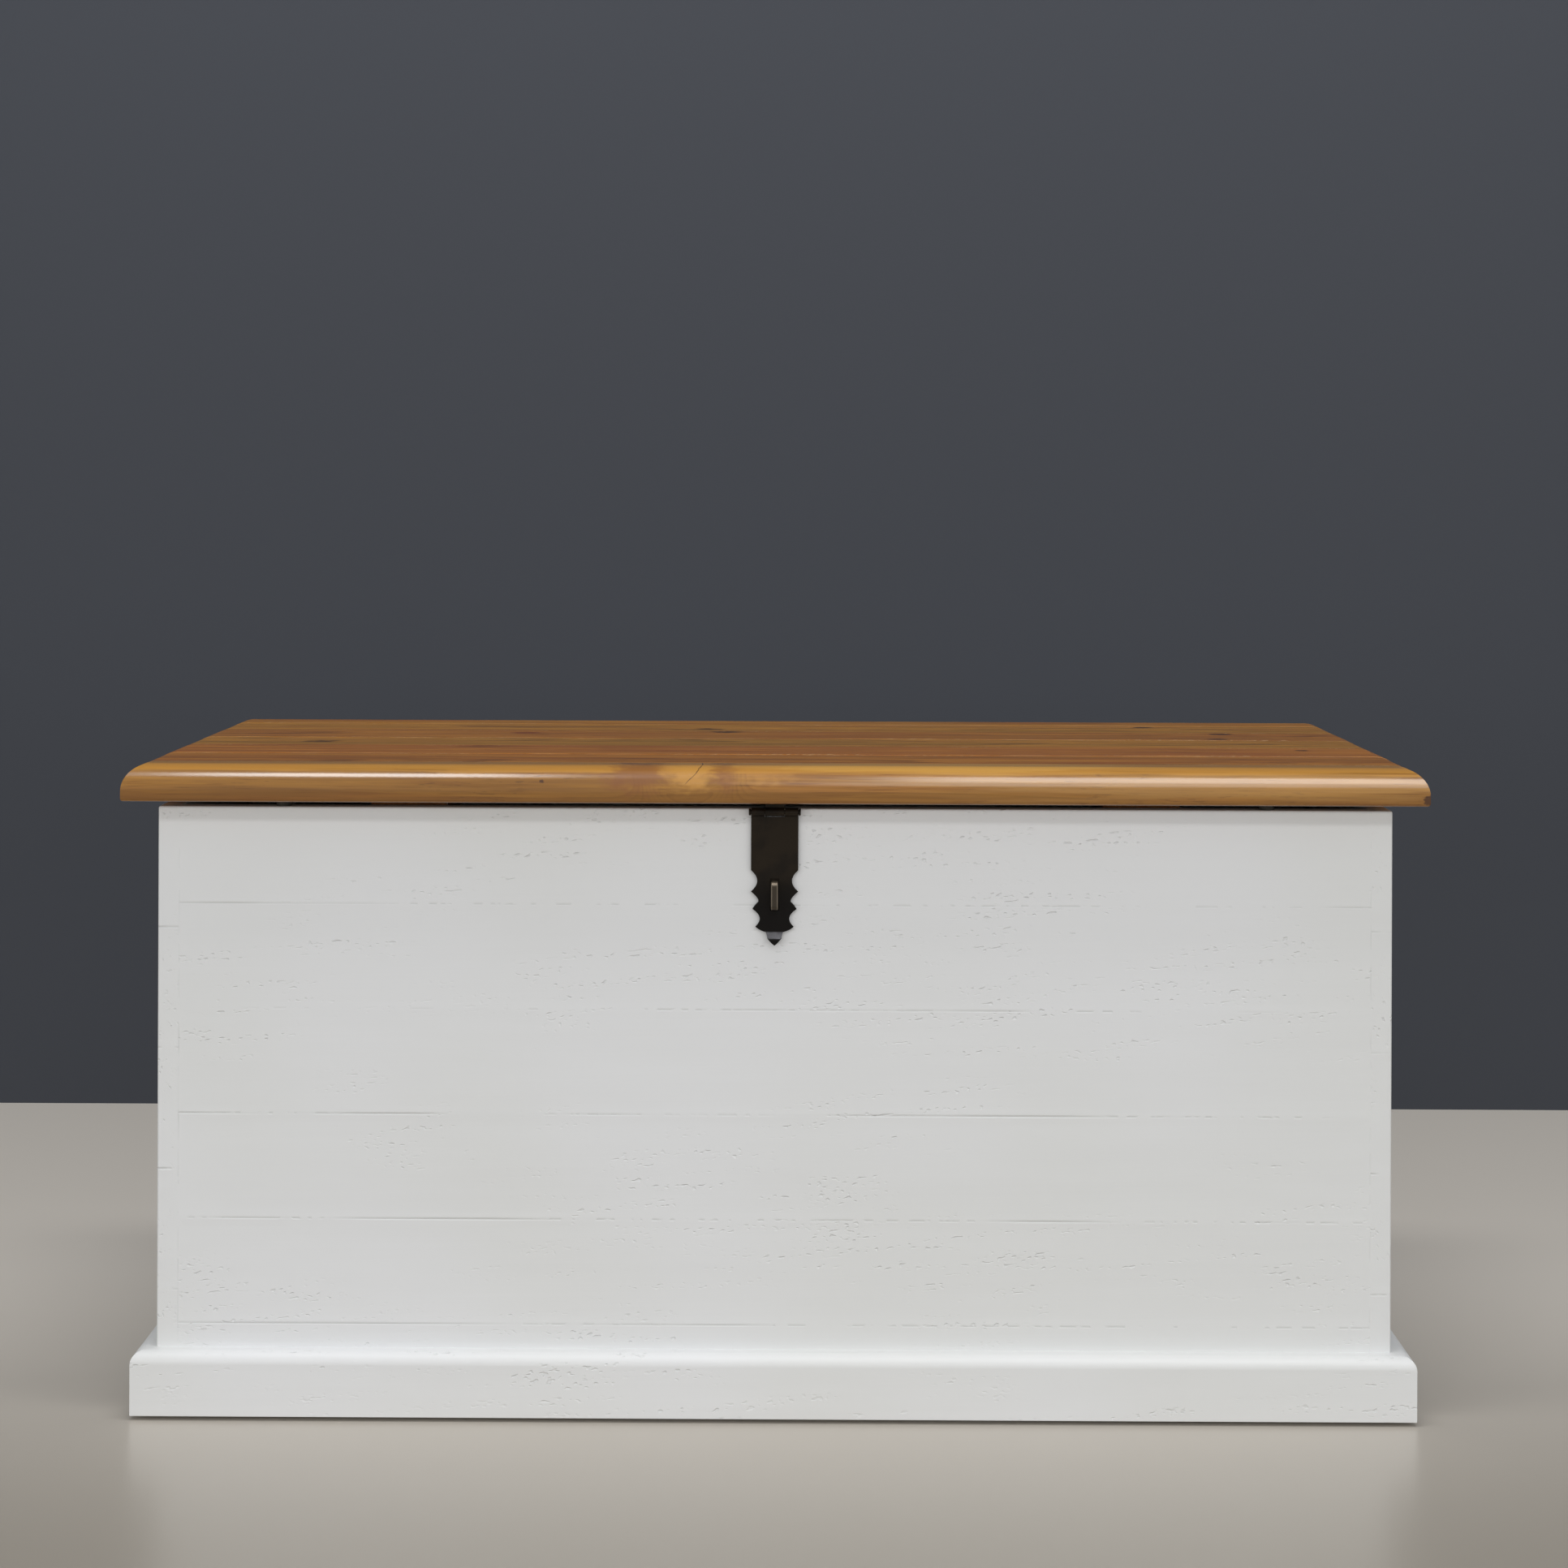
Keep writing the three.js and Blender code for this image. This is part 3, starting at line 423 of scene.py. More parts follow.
    # The stain: golden to brown drifts, reddish streaks, dark latewood, fibres and resin flecks
    broad = node(tree, "MapRange", (grained((380, 10, 10), 1.0), 0.36, 0.64, 0.0, 0.7), **SMOOTH_STEP)
    brown = node(tree, "Math", (year, 0.3, broad), operation="MULTIPLY_ADD")
    reddish = grained((200, 8, 8), 41.0)
    reddish = node(tree, "MapRange", (reddish, 0.52, 0.68, 0.0, red), **SMOOTH_STEP)
    strength = node(tree, "MapRange", (year, 0.0, 1.0, streak * 0.4, streak), **SMOOTH_STEP)
    dark = node(tree, "Math", (late, strength), operation="MULTIPLY")
    fibres = grained((90, 1.8, 1.8), 12.0, 3.0)
    fibre_shade = node(tree, "MapRange", (fibres, 0.32, 0.68, 1.0, 0.0), **SMOOTH_STEP)
    hairs = node(tree, "MapRange", (grained((34, 1.0, 1.0), 17.0, 1.0), 0.58, 0.76), **SMOOTH_STEP)
    groups = node(tree, "MapRange", (grained((120, 25, 25), 23.0), 0.48, 0.62), **SMOOTH_STEP)
    flecks = grained((11, 1.2, 1.2), 21.0, 1.0)
    flecks = node(tree, "MapRange", (flecks, 0.62, 0.70, 0.0, groups), **SMOOTH_STEP)
    resin = node(tree, "Math", (flecks, 0.45), operation="MULTIPLY")
    layers = [(reddish, RED_STREAK, "MIX"), (dark, latewood, "MIX"),
              (fibre_shade, FIBRE_SHADE, "MULTIPLY"), (hairs, HAIR_SHADE, "MULTIPLY"),
              (resin, FLECK, "MIX"), *spot_layers]

    if crack:
        x, z, slant = crack
        start = x - z * slant
        wobble = grained((6, 6, 6), 51.0)
        wobble = node(tree, "MapRange", (wobble, 0.0, 1.0, start - 1.5, start + 1.5), **SMOOTH_STEP)
        line = node(tree, "Math", (height, slant, wobble), operation="MULTIPLY_ADD")
        off = node(tree, "Math", (along, line), operation="SUBTRACT")
        off = node(tree, "Math", [off], operation="ABSOLUTE")
        upper = node(tree, "MapRange", (height, z - 4, z, 0.0, 0.8), **SMOOTH_STEP)
        split = node(tree, "MapRange", (off, 0.15, 0.6, upper, 0.0), **SMOOTH_STEP)
        layers.append((split, FLECK, "MIX"))

    # The joints, on the top: a pale broken line of glue and painted highlight of the joint edges, with
    # cross strokes from the sander
    near = joint_distance(tree)
    dashes = grained((60, 40, 40), 31.0, 3.0)
    dashes = node(tree, "MapRange", (dashes, 0.46, 0.56, 0.0, 0.22), **SMOOTH_STEP)
    line = node(tree, "MapRange", (near, 0.5, 1.2, dashes, 0.0), **SMOOTH_STEP)
    worked = grained((190, 50, 50), 35.0, 1.0)
    worked = node(tree, "MapRange", (worked, 0.45, 0.60, 0.0, 0.36), **SMOOTH_STEP)
    strokes = grained((3.0, 30, 30), 33.0, 0.0, turn=0.3)
    strokes = node(tree, "MapRange", (strokes, 0.52, 0.72, 0.0, worked), **SMOOTH_STEP)
    ticks = node(tree, "MapRange", (near, 1.5, 8.0, strokes, 0.0), **SMOOTH_STEP)
    glue_and_gleam = node(tree, "Math", (line, ticks), operation="MAXIMUM")
    glue_and_gleam = node(tree, "MapRange", (height, 490, 500, 0.0, glue_and_gleam), **SMOOTH_STEP)
    layers.append((glue_and_gleam, GLUE_AND_GLEAM, "MIX"))

    tone = node(tree, "Mix", {0: brown, 6: linear(sapwood), 7: linear(heartwood)}, **COLOUR_MIX)
    for share, tint, blend in layers:
        tone = node(tree, "Mix", {0: share, 6: tone, 7: linear(tint)}, blend_type=blend, **COLOUR_MIX)
    relief = 0.0
    waves = grained((160, 14, 14), 61.0, 1.0)
    for part, amount in ((fibres, 0.05), (late, 0.03), (flecks, -0.1), (waves, 0.09)):
        relief = node(tree, "Math", (part, amount, relief), operation="MULTIPLY_ADD")
    normal = node(tree, "Bump", {"Height": relief, "Distance": MM, "Strength": 0.55})
    gloss = node(tree, "MapRange", (fibres, 0.3, 0.7, 0.42, 0.55), **SMOOTH_STEP)
    fill(tree, surface, {"Base Color": tone, "Roughness": gloss, "Normal": normal, "IOR": 1.5,
                         "Specular IOR Level": 0.15, "Coat Weight": coat, "Coat Roughness": 0.17,
                         "Coat IOR": 1.6})
    return material


lid_low = Vector(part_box("lid_nosing")[0])
lid_high = Vector(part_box("lid_back_strip")[1])
lid_low.x = -lid_high.x


def top_knot(x, y, half, tint=DARK_KNOT):
    """A round knot in the lid's top face, drawn out a little along the grain."""
    return ((x, y, lid_high.z / MM), (half * 1.5, half, 0), 3.4, tint, 0.85)


lid_looks = {
    "lid_nosing": dict(
        sapwood="#b07d32", heartwood="#966623", latewood="#6e4218", pith=(-150, 405), drift=(6, 12),
        seed=4.2, streak=0.3, red=0.2, coat=0.95, crack=(-66, 492.5, 0.95), spots=[
            # Darker towards the nosing's foot: partly the wood's tone and partly painted shade.
            ((0, 0, 474), (0, 0, 9), 0, "#74491c", 0.55),
            ((-310, 0, 489), (190, 0, 9), 0, "#7a5225", 0.4),
            # A pale band along the right half at mid height: painted sheen.
            ((330, 0, 490), (180, 0, 9), 0, "#bd8f4e", 0.45),
            # Golden along the top of the rounding, paler near the middle: partly the wood's tone and partly
            # painted light.
            ((0, 0, 505), (0, 0, 6.5), 0, "#c58d3a", 0.65),
            ((120, 0, 505), (140, 0, 7), 0, "#dca953", 0.45),
            ((-103, 0, 495), (22, 0, 11), 0, "#86532a", 0.75),
            ((-66, 0, 498), (17, 0, 11), 1.5, "#c48e3f", 0.8),
            ((-38, 0, 496), (9, 0, 10), 0, "#86532a", 0.7),
            ((-12, 0, 500), (24, 0, 9), 0, "#bd8538", 0.5),
            ((-178, 0, 491.5), (1.8, 0, 1.2), 0, DARK_KNOT, 0.8),
            ((500, -225, 479.5), (5, 10, 4.4), 1.5, "#4a2c18", 0.9)]),
    "lid_board_1": dict(
        sapwood="#c4822d", heartwood="#9b6122", latewood="#653b13", pith=(-165, 440), drift=(-14, 30),
        seed=1.1),
    "lid_board_2": dict(
        sapwood="#c8822d", heartwood="#a36225", latewood="#6d3c14", pith=(-60, 425), drift=(12, -26),
        seed=2.9, red=0.65, spots=[top_knot(430, -58, 4)]),
    "lid_board_3": dict(
        sapwood="#c48730", heartwood="#a07329", latewood="#6e4818", pith=(12, 452), drift=(16, 38),
        seed=3.7, red=0.25, spots=[top_knot(-381, -5, 8)]),
    "lid_board_4": dict(
        sapwood="#c3812e", heartwood="#9b6424", latewood="#693913", pith=(88, 430), drift=(-16, 22),
        seed=5.3, red=0.6, spots=[top_knot(-45, 102, 8), top_knot(-218, 85, 9, "#7c3a16"),
                                  top_knot(385, 98, 7), top_knot(375, 47, 6)]),
    "lid_board_5": dict(
        sapwood="#ce8f31", heartwood="#a8772a", latewood="#744819", pith=(150, 446), drift=(12, -34),
        seed=6.1, spots=[top_knot(-62, 136, 8), top_knot(326, 173, 6)]),
    "lid_back_strip": dict(
        sapwood="#ca8b2e", heartwood="#a86f26", latewood="#744517", pith=(232, 428), drift=(10, 28),
        seed=7.7),
}
# How far some boards lie below the others, as boards that were glued by hand do
lies_low = {"lid_board_1": 0.25 * MM, "lid_board_3": 0.2 * MM, "lid_board_5": 0.25 * MM,
            "lid_back_strip": 0.1 * MM}
slab = box_mesh(lid_low, lid_high)


def slab_edges(level):
    """The slab's edges at one level along the front and both ends."""
    return [e for e in slab.edges
            if all(abs(v.co.z - level) < TOUCH for v in e.verts)
            and not all(abs(v.co.y - lid_high.y) < TOUCH for v in e.verts)]


soften(slab, slab_edges(lid_high.z), LID_ROUND, 14)
soften(slab, slab_edges(lid_low.z), LID_FOOT, 5)

for board, look in lid_looks.items():
    low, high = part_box(board)
    front_joint = low.y if low.y > lid_low.y + TOUCH else None
    back_joint = high.y if high.y < lid_high.y - TOUCH else None
    bm = slab.copy()
    if front_joint is not None:
        saw(bm, Vector((0, front_joint, 0)), Vector((0, -1, 0)))
    if back_joint is not None:
        saw(bm, Vector((0, back_joint, 0)), Vector((0, 1, 0)))
    joints = [j for j in (front_joint, back_joint) if j is not None]
    rims = [e for e in bm.edges
            if any(all(abs(v.co.y - j) < TOUCH for v in e.verts) for j in joints)]
    soften(bm, rims, LID_EASE, 2)
    middle = (lid_low.z + lid_high.z) / 2
    upper = [v for v in bm.verts if v.co.z > middle]
    bmesh.ops.translate(bm, vec=(0, 0, -lies_low.get(board, 0)), verts=upper)
    pine = stained_pine("stained_pine_" + board, **look)
    made = piece(bm, board + "_lacquered", pine, "lid", [board])
    mark_joints(made, 1, front_joint, back_joint)
slab.free()

# Battens under the lid.
# The same stained pine, planed, its grain along the batten, with rounded arrises; glued and screwed
# across the boards.
BATTEN_ARRIS = 0.8 * MM
BATTEN_PITH = (11, 446)
for side, seed in (("left", 9.0), ("right", 9.8)):
    name = f"lid_batten_{side}"
    low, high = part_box(name)
    pith = ((low.x + high.x) / 2 / MM + BATTEN_PITH[0], BATTEN_PITH[1])
    pine = stained_pine("stained_pine_" + name, "#99642f", "#84512b", "#5e3216", pith, (6, 14), seed,
                        streak=0.4, across=True)
    made = worked_copy(name, name + "_lacquered", pine, "lid", arris=BATTEN_ARRIS)
    mark_joints(made, 1, None, None)

# Bottom panel and its cleats.
# Bare planed pine, not stained: pale straw, with soft brown rings. The panel lies on the cleats,
# which are glued along the front and the back wall.
SAWN_ARRIS = 0.5 * MM
bare = stained_pine("bare_planed_pine", "#dcc294", "#d0b07e", "#b58a56", (-60, -40), (14, 20), 8.3,
                    red=0.0, coat=0.0)
for name in ("bottom_panel", "front_cleat", "back_cleat"):
    made = worked_copy(name, name + "_planed", bare, "chest", arris=SAWN_ARRIS)
    mark_joints(made, 1, None, None)


# Butt hinges.
# Pressed steel leaves rolled into knuckles round a headed pin, brass plated and lacquered; one leaf
# is screwed on the back wall's top edge and the other under the lid.
def plated_metal(name, base, worn, rough, scratch):
    """Plated sheet metal: even colour, slightly uneven gloss, and scratches 17 mm long and 0.7 mm
    wide, which is coarser than real ones, so that they show."""
    material, tree, surface = new_material(name)
    place = node(tree, "TexCoord", out="Object")
    cloud = node(tree, "TexNoise", {"Vector": place, "Scale": 1 / (14 * MM), "Detail": 4.0})
    colour = node(tree, "Mix", {0: cloud, 6: linear(base), 7: linear(worn)}, **COLOUR_MIX)
    thin = node(tree, "Mapping", {"Vector": place, "Scale": (60.0, 1500.0, 1500.0)})
    lines = node(tree, "TexNoise", {"Vector": thin, "Scale": 1.0, "Detail": 2.0})
    gloss = node(tree, "MapRange", (lines, 0.3, 0.7, rough - 0.05, rough + 0.08))
    normal = node(tree, "Bump", {"Height": lines, "Distance": scratch * MM})
    fill(tree, surface, {"Base Color": colour, "Roughness": gloss, "Normal": normal, "Metallic": 1.0})
    return material


brass = plated_metal("lacquered_brass_plate", "#c2a15f", "#a98a4e", 0.28, 0.02)
for side in ("left", "right"):
    hinge = f"{side}_hinge"
    worked_copy(hinge + "_body_leaf", hinge + "_body_leaf_pressed", brass, "chest")
    worked_copy(hinge + "_pin", hinge + "_pin_headed", brass, "chest")
    worked_copy(hinge + "_lid_leaf", hinge + "_lid_leaf_pressed", brass, "lid")

# Screws.
# Slotted countersunk wood screws, turned and plated like the fitting that they hold. Those in the
# hinges and the battens stand here, and the others with their fittings.
SCREW_HEAD = 2.9 * MM
SCREW_SHANK = 1.6 * MM
SCREW_CONE = 1.25 * MM
SCREW_LENGTH = 9 * MM
SCREW_TIP = 0.3
SCREW_SIDES = 20
SLOT_HALF = 0.35 * MM
SLOT_DEPTH = 0.6 * MM
SCREW_RIM = 0.2 * MM
SCREW_PROUD = 0.1 * MM
ROUND_HEAD = 0.65 * MM
FIRST_TURN = 20
NEXT_TURN = 37


def add_screw(target, point, facing, turn):
    """Adds a screw to the target bmesh, the face of its head at the point and looking along facing."""
    bm = bmesh.new()
    bmesh.ops.create_cone(bm, cap_ends=True, segments=SCREW_SIDES, radius1=SCREW_SHANK,
                          radius2=SCREW_HEAD, depth=SCREW_CONE)
    bmesh.ops.translate(bm, vec=(0, 0, -SCREW_CONE / 2), verts=bm.verts)
    soften(bm, [e for e in bm.edges if all(v.co.z > -TOUCH for v in e.verts)], SCREW_RIM, 2)
    foot = min(bm.faces, key=lambda f: f.calc_center_median().z)
    pulled = bmesh.ops.extrude_face_region(bm, geom=[foot])["geom"]
    bmesh.ops.delete(bm, geom=[f for f in [foot] if f.is_valid], context="FACES_ONLY")
    tip = [v for v in pulled if isinstance(v, bmesh.types.BMVert)]
    bmesh.ops.translate(bm, vec=(0, 0, -SCREW_LENGTH), verts=tip)
    bmesh.ops.scale(bm, vec=(SCREW_TIP, SCREW_TIP, 1), verts=tip)
    for x in (-SLOT_HALF, SLOT_HALF):
        top = [f for f in bm.faces if f.calc_center_median().z > -SCREW_CONE / 10]
        points = dict.fromkeys(v for f in top for v in f.verts)
        edges = dict.fromkeys(e for f in top for e in f.edges)
        bmesh.ops.bisect_plane(bm, geom=[*points, *edges, *top], dist=CUT_TOUCH / 10,
                               plane_co=(x, 0, 0), plane_no=(1, 0, 0))
    middle = [f for f in bm.faces if f.calc_center_median().z > -TOUCH
              and abs(f.calc_center_median().x) < SLOT_HALF / 2]
    sunk = bmesh.ops.extrude_face_region(bm, geom=middle)["geom"]
    bmesh.ops.delete(bm, geom=[f for f in middle if f.is_valid], context="FACES_ONLY")
    floor_of_slot = [v for v in sunk if isinstance(v, bmesh.types.BMVert)]
    bmesh.ops.translate(bm, vec=(0, 0, -SLOT_DEPTH), verts=floor_of_slot)
    turned = Matrix.Rotation(math.radians(turn), 3, "Z")
    bmesh.ops.rotate(bm, cent=(0, 0, 0), matrix=turned, verts=bm.verts)
    aim = facing.to_track_quat("Z", "Y").to_matrix().to_4x4()
    bm.transform(Matrix.Translation(point) @ aim)
    mesh = bpy.data.meshes.new("screw")
    bm.to_mesh(mesh)
    bm.free()
    target.from_mesh(mesh)
    bpy.data.meshes.remove(mesh)


def screws(name, spots, facing, material, body, proud=SCREW_PROUD):
    """One piece of all the screws in a fitting, each with its slot at another angle."""
    bm = bmesh.new()
    for i, spot in enumerate(spots):
        add_screw(bm, Vector(spot) + Vector(facing) * proud, Vector(facing), NEXT_TURN * i + FIRST_TURN)
    return piece(bm, name, material, body)


HINGE_LEAF_WIDTH = 14.8 * MM
HINGE_LEAF = 1.6 * MM
HINGE_HOLE_STEP = 20.48 * MM
BATTEN_SCREW_STEP = 75 * MM
BATTEN_ZIGZAG = 9 * MM
for side in ("left", "right"):
    low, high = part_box(f"{side}_hinge_body_leaf")
    centre = (low.x + high.x) / 2
    y = low.y + HINGE_LEAF_WIDTH / 2
    row = [centre + k * HINGE_HOLE_STEP for k in (-1, 0, 1)]
    screws(f"{side}_hinge_body_screws", [(x, y, low.z + HINGE_LEAF) for x in row], (0, 0, 1),
           brass, "chest")
    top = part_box(f"{side}_hinge_lid_leaf")[1].z
    screws(f"{side}_hinge_lid_screws", [(x, y, top - HINGE_LEAF) for x in row], (0, 0, -1),
           brass, "lid")
    low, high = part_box(f"lid_batten_{side}")
    centre = (low.x + high.x) / 2
    row = [(centre + (1 if k % 2 else -1) * BATTEN_ZIGZAG, k * BATTEN_SCREW_STEP, low.z)
           for k in range(-2, 3)]
    screws(f"lid_batten_{side}_screws", row, (0, 0, -1), brass, "lid", ROUND_HEAD)

# Hasp and staple.
# Iron strap cut to a scalloped outline, its tip set forward for the finger; blackened and waxed,
# so it is nearly black with a brown cast, and polished to grey where it is handled. That grey at the
# finger tip's bend and the pale edges and top of the staple are also painted highlight.
IRON_BLACK = "#252322"
IRON_BROWN = "#39322a"
# Grey at the finger tip's bend: polish from handling and painted highlight.
IRON_HANDLED_AND_GLINT = "#6a6a6e"
# Pale edges and top of the staple: wear and painted highlight.
IRON_WORN_AND_HIGHLIT = "#887d6e"
BROWN_FROM, BROWN_FULL = 390 * MM, 430 * MM
FINGER_FOOT, FINGER_TOP = 368.5 * MM, 375.5 * MM
PALE_EDGE_WIDTH = 1.4 * MM
PALE_TOP_HEIGHT = 4 * MM


def blackened_iron(name, worn_and_highlit_from=None):
    """Blackened, waxed iron: dark, with a soft uneven gloss, browner in the strap's upper part and
    grey at the finger tip's bend, which is rubbed wear and painted highlight. worn_and_highlit_from is
    the (x, z) beyond which the piece's edges are paler, as rubbed wear and painted highlight."""
    material, tree, surface = new_material(name)
    place = node(tree, "TexCoord", out="Object")
    height = node(tree, "SeparateXYZ", [place], out=2)
    cloud = node(tree, "TexNoise", {"Vector": place, "Scale": 1 / (16 * MM), "Detail": 5.0})
    fine = node(tree, "TexNoise", {"Vector": place, "Scale": 1 / (1.2 * MM), "Detail": 3.0})
    patches = node(tree, "MapRange", (cloud, 0.3, 0.6, 0.45, 1.0), **SMOOTH_STEP)
    browned = node(tree, "MapRange", (height, BROWN_FROM, BROWN_FULL, 0.0, patches), **SMOOTH_STEP)
    tone = node(tree, "Mix", {0: browned, 6: linear(IRON_BLACK), 7: linear(IRON_BROWN)}, **COLOUR_MIX)
    # Grey at the finger tip's bend: polish from handling and painted highlight of the bend.
    handled_and_glint = node(tree, "MapRange", (cloud, 0.3, 0.7, 0.25, 0.8), **SMOOTH_STEP)
    handled_and_glint = node(tree, "MapRange", (height, FINGER_TOP - 2 * MM, FINGER_TOP, handled_and_glint, 0.0), **SMOOTH_STEP)
    handled_and_glint = node(tree, "MapRange", (height, FINGER_FOOT, FINGER_FOOT + 1.5 * MM, 0.0, handled_and_glint),
                  **SMOOTH_STEP)
    tone = node(tree, "Mix", {0: handled_and_glint, 6: tone, 7: linear(IRON_HANDLED_AND_GLINT)}, **COLOUR_MIX)
    if worn_and_highlit_from:
        pale_edge_x, pale_top_z = worn_and_highlit_from
        side = node(tree, "Math", [node(tree, "SeparateXYZ", [place])], operation="ABSOLUTE")
        sides = node(tree, "MapRange", (side, pale_edge_x, pale_edge_x + MM), **SMOOTH_STEP)
        top = node(tree, "MapRange", (height, pale_top_z, pale_top_z + 2 * MM), **SMOOTH_STEP)
        # Paler edges and top: the black rubbed off, and painted highlight.
        bare = node(tree, "Math", (sides, top), operation="MAXIMUM")
        bare = node(tree, "MapRange", (bare, 0.0, 1.0, 0.3, 0.75), **SMOOTH_STEP)
        tone = node(tree, "Mix", {0: bare, 6: tone, 7: linear(IRON_WORN_AND_HIGHLIT)}, **COLOUR_MIX)
    normal = node(tree, "Bump", {"Height": fine, "Distance": 0.04 * MM})
    gloss = node(tree, "MapRange", (fine, 0.3, 0.7, 0.34, 0.5), **SMOOTH_STEP)
    fill(tree, surface, {"Base Color": tone, "Roughness": gloss, "Normal": normal, "Metallic": 0.9})
    return material


iron = blackened_iron("blackened_waxed_iron")
staple_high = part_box("staple")[1]
# Its pale edges and top are rubbed wear and painted highlight.
worn_and_highlit_iron = blackened_iron("blackened_iron_worn_and_highlit", (staple_high.x - PALE_EDGE_WIDTH, staple_high.z - PALE_TOP_HEIGHT))
worked_copy("hasp_strap", "hasp_strap_filed", iron, "strap", arris=0.3 * MM)
worked_copy("hasp_lid_leaf", "hasp_lid_leaf_filed", iron, "lid", arris=0.3 * MM)
worked_copy("hasp_pin", "hasp_pin_headed", iron, "lid", arris=0.4 * MM)
worked_copy("staple_plate", "staple_plate_filed", iron, "chest", arris=0.2 * MM)
worked_copy("staple", "staple_bent", worn_and_highlit_iron, "chest", arris=0.8 * MM, segments=3)

PLATE_HOLE_INSET = 4.4 * MM
low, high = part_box("staple_plate")
corners = [(x, low.y, z) for x in (low.x + PLATE_HOLE_INSET, high.x - PLATE_HOLE_INSET)
           for z in (low.z + PLATE_HOLE_INSET, high.z - PLATE_HOLE_INSET)]
screws("staple_plate_screws", corners, (0, -1, 0), iron, "chest")

HASP_IRON = 1.8 * MM
HASP_HOLE_X = 10.92 * MM
HASP_HOLE_INSET = 12.88 * MM
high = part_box("hasp_lid_leaf")[1]
spots = [(k * HASP_HOLE_X, high.y - HASP_HOLE_INSET, high.z - HASP_IRON) for k in (-1, 1)]
screws("hasp_lid_leaf_screws", spots, (0, 0, -1), iron, "lid")

# Lid stays.
# Pressed steel, zinc plated: bright grey with a soft, slightly blue bloom. Each arm turns on its
# bracket's rivet under the lid and slides on a stud, whose plate is screwed to the side wall.
STAY_IRON = 2 * MM
STUD_HOLE_STEP = 14 * MM
BRACKET_FACE = 455.4 * MM
BRACKET_HOLE_IN = 14.4 * MM
BRACKET_HOLE_STEP = 10.2 * MM
zinc = plated_metal("bright_zinc_plate", "#b4b8bb", "#a1a5a6", 0.34, 0.03)
for side, sign in (("left", -1), ("right", 1)):
    stay = f"{side}_stay"
    worked_copy(stay + "_arm", stay + "_arm_pressed", zinc, stay)
    worked_copy(stay + "_bracket", stay + "_bracket_pressed", zinc, "lid")
    worked_copy(stay + "_stud", stay + "_stud_turned", zinc, "chest")
    low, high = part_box(stay + "_stud")
    wall = sign * max(abs(low.x), abs(high.x))
    y, z = (low.y + high.y) / 2, (low.z + high.z) / 2
    spots = [(wall - sign * STAY_IRON, y, z + k * STUD_HOLE_STEP) for k in (-1, 1)]
    screws(stay + "_stud_screws", spots, (-sign, 0, 0), zinc, "chest")
    low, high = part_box(stay + "_bracket")
    x, y = sign * (BRACKET_FACE - BRACKET_HOLE_IN), (low.y + high.y) / 2
    spots = [(x, y + k * BRACKET_HOLE_STEP, high.z - STAY_IRON) for k in (-1, 1)]
    screws(stay + "_bracket_screws", spots, (0, 0, -1), zinc, "lid")

# Floor and backdrop.
# A pale floor with a slight polish, darker towards the front and paler behind, and a grey backdrop,
# lighter towards the top, behind the chest; both shifts are painted shade and light. The backdrop
# shows only from the front, so that the chest can be seen from every side.
FLOOR_HALF = 6.0
BACKDROP_Y = 0.95


def plain_finish(name, near_code, far_code, axis, start, end, roughness):
    """A plain finish whose colour passes slowly from one to the other along one axis: painted light and
    shade.
    """
    material, tree, surface = new_material(name)
    along = node(tree, "SeparateXYZ", [node(tree, "TexCoord", out="Object")], out=axis)
    share = node(tree, "MapRange", (along, start, end), **SMOOTH_STEP)
    colour = node(tree, "Mix", {0: share, 6: linear(near_code), 7: linear(far_code)}, **COLOUR_MIX)
    fill(tree, surface, {"Base Color": colour, "Roughness": roughness})
    return material


def flat_sheet(name, corners, material):
    """One flat face that belongs to the stage, not to the chest."""
    bm = bmesh.new()
    bm.faces.new([bm.verts.new(c) for c in corners])
    mesh = bpy.data.meshes.new(name)
    bm.to_mesh(mesh)
    bm.free()
    mesh.materials.append(material)
    made = bpy.data.objects.new(name, mesh)
    bpy.context.scene.collection.objects.link(made)
    return made


# Darker towards the front and paler behind: painted shade and painted light on the floor.
floor_finish = plain_finish("pale_polished_floor", "#9f988d", "#dfd8ce", 1, -0.62, 0.25, 0.3)
left, right = -FLOOR_HALF, FLOOR_HALF
flat_sheet("floor", [(left, left, 0), (right, left, 0), (right, right, 0), (left, right, 0)], floor_finish)

# Lighter towards the top: painted light on the backdrop.
backdrop_finish = plain_finish("grey_backdrop", "#3f4249", "#4c5058", 2, 0.2, 2.2, 0.9)
tree = backdrop_finish.node_tree
behind = node(tree, "NewGeometry", out="Backfacing")
clear = node(tree, "BsdfTransparent")
shown = node(tree, "MixShader", (behind, tree.nodes["Principled BSDF"].outputs[0], clear))
fill(tree, tree.nodes["Material Output"], {"Surface": shown})
backdrop = flat_sheet("backdrop", [(left, BACKDROP_Y, 0), (right, BACKDROP_Y, 0),
                                   (right, BACKDROP_Y, FLOOR_HALF), (left, BACKDROP_Y, FLOOR_HALF)],
                      backdrop_finish)
backdrop.visible_shadow = False
backdrop.visible_diffuse = False


# Light.
# Five soft lamps give an even light: one over the lid, one high in front, which throws the lid's
# shadow on the front, and the rest low. Three white cards give the long gleams on the lid's edge.
def soft_box(name, place, aim, size, power, lamp=True, mirrored=True):
    """A lamp lights matt surfaces, and what is mirrored shows in glossy ones."""
    light = bpy.data.lights.new(name, "AREA")
    light.shape = "RECTANGLE"
    light.size, light.size_y = size
    light.energy = power
    made = bpy.data.objects.new(name, light)
    made.location = place
    made.rotation_euler = (Vector(aim) - Vector(place)).to_track_quat("-Z", "Y").to_euler()
    made.visible_diffuse = lamp
    made.visible_glossy = mirrored
    bpy.context.scene.collection.objects.link(made)


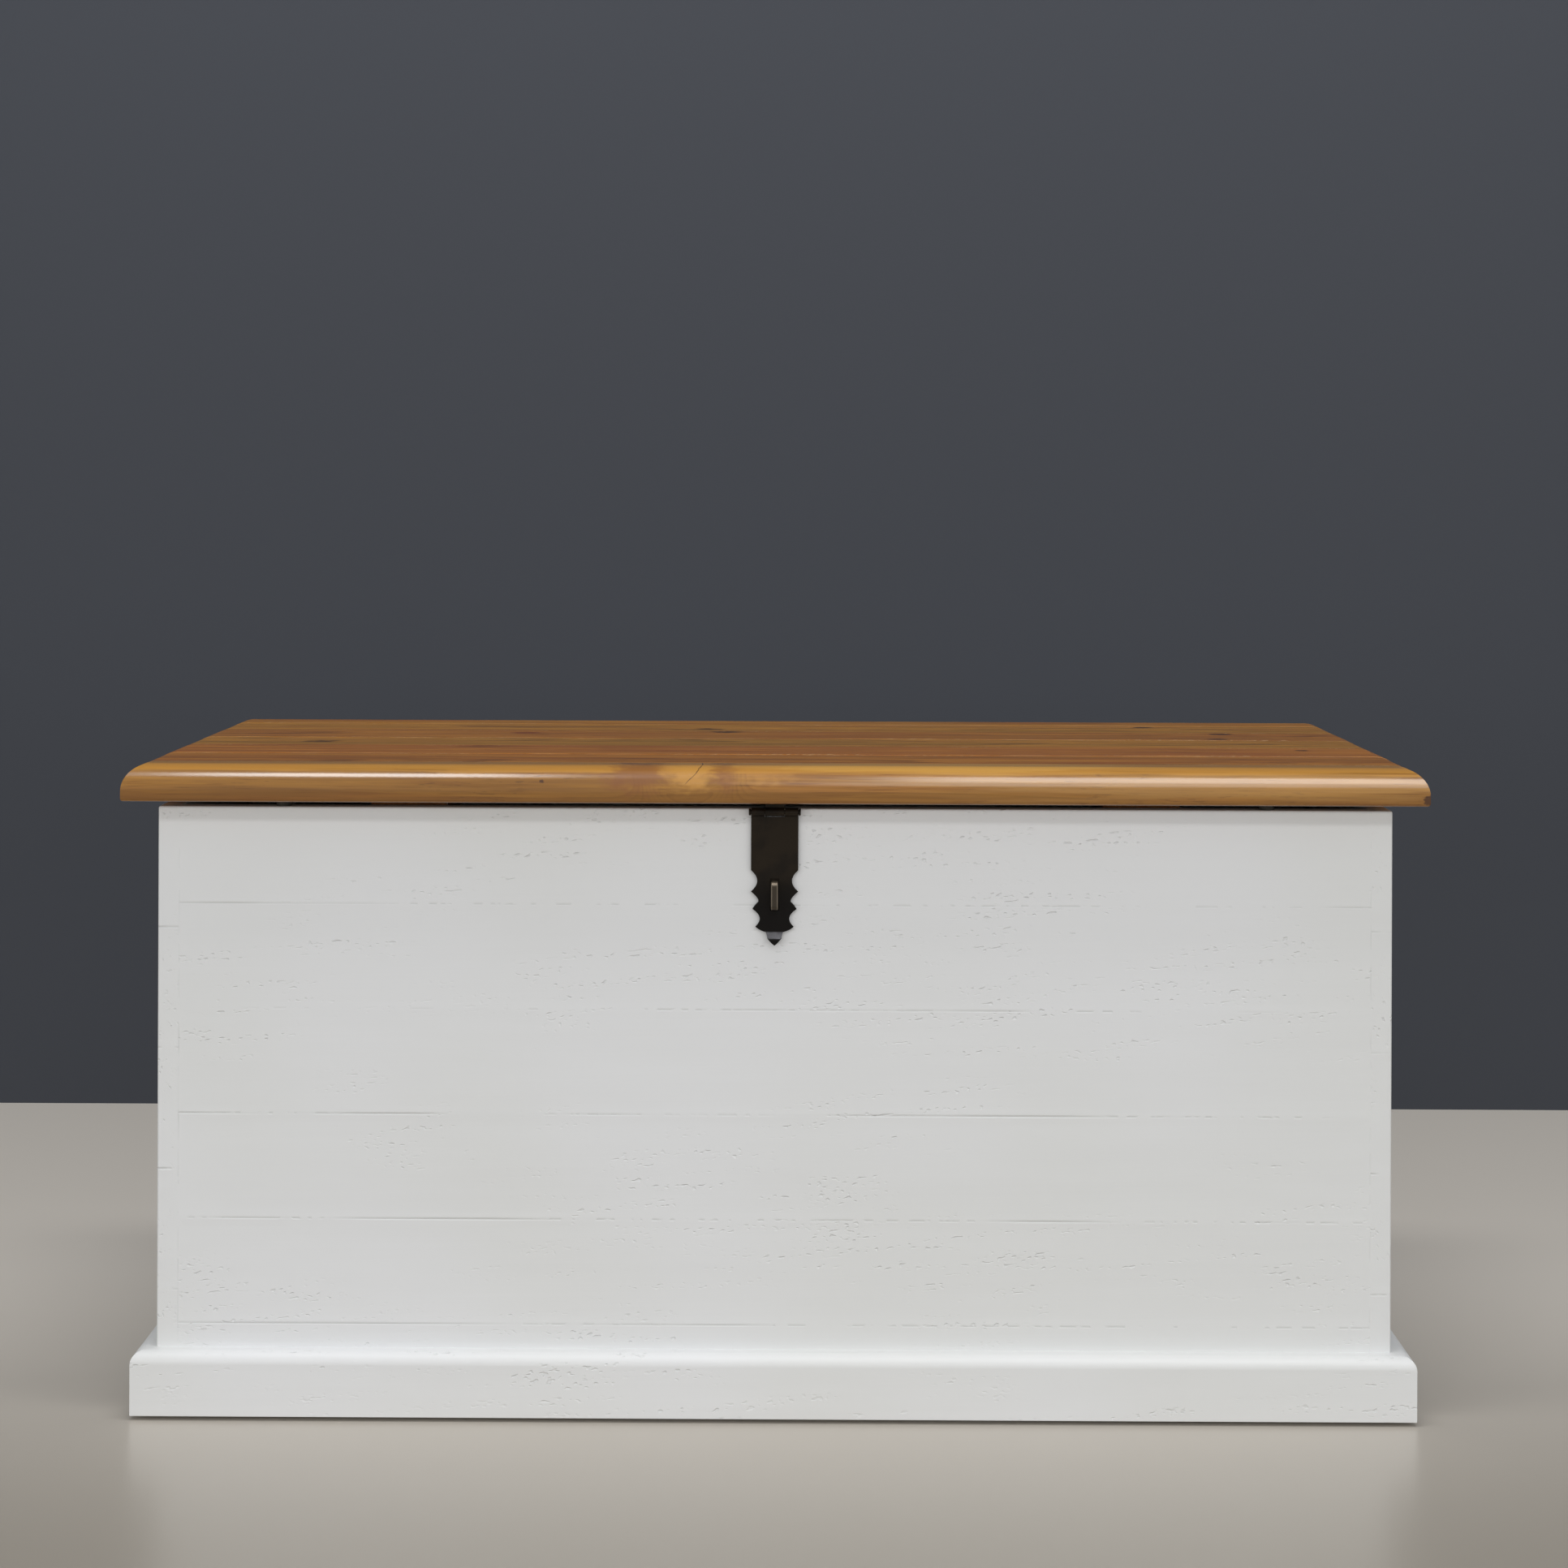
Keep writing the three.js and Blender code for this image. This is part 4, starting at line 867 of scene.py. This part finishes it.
chest = (0, -0.2, 0.45)
soft_box("top_lamp", (0, -0.62, 3.2), (0, -0.4, 0), (2.4, 0.5), 36, mirrored=False)
soft_box("high_lamp", (0, -2.9, 2.4), chest, (3.6, 0.3), 19, mirrored=False)
soft_box("window_lamp", (0, -4.6, 1.35), chest, (4.2, 1.5), 40, mirrored=False)
for side in (-1, 1):
    soft_box(f"low_lamp_{side}", (3.1 * side, -3.3, 0.75), chest, (2.6, 1.1), 19)
soft_box("left_card", (-0.61, -0.82, 2.38), (-0.61, -0.22, 0.49), (0.48, 0.6), 11, lamp=False)
soft_box("right_card", (0.66, -1.15, 2.2), (0.66, -0.22, 0.49), (1.0, 0.9), 17, lamp=False)
soft_box("front_card", (0.9, -2.8, 2.66), (0.2, -0.2, 0.45), (1.8, 1.0), 14.5, lamp=False)

world = bpy.data.worlds.new("even_room_light")
bpy.context.scene.world = world
world.use_nodes = True
fill(world.node_tree, world.node_tree.nodes["Background"], {"Color": linear("#e9ebee"), "Strength": 0.42})
world.cycles.sampling_method = "NONE"
bpy.context.scene.view_settings.view_transform = "Standard"

# Camera.
# Worked out from the photograph: level, 2.5 m in front of the chest's middle, its lens shifted so
# that the chest stands low in the frame with its uprights parallel.
CAMERA_PLACE = Vector((18.06, -2497.93, 717.5)) * MM
CAMERA_YAW = 0.0052
CAMERA_ROLL = 0.00367
PHOTO_SIDE = 1932
FOCAL_PIXELS = 3671.5
HORIZON_ROW = 599.39
SENSOR = 36.0

lens = bpy.data.cameras.new("camera")
lens.sensor_width = SENSOR
lens.lens = FOCAL_PIXELS / PHOTO_SIDE * SENSOR
lens.shift_y = (HORIZON_ROW - PHOTO_SIDE / 2) / PHOTO_SIDE
camera = bpy.data.objects.new("camera", lens)
turn = (Matrix.Rotation(CAMERA_YAW, 4, "Z") @ Matrix.Rotation(math.pi / 2, 4, "X")
        @ Matrix.Rotation(CAMERA_ROLL, 4, "Z"))
camera.matrix_world = Matrix.Translation(CAMERA_PLACE) @ turn
bpy.context.scene.collection.objects.link(camera)
bpy.context.scene.camera = camera

bpy.context.view_layer.update()
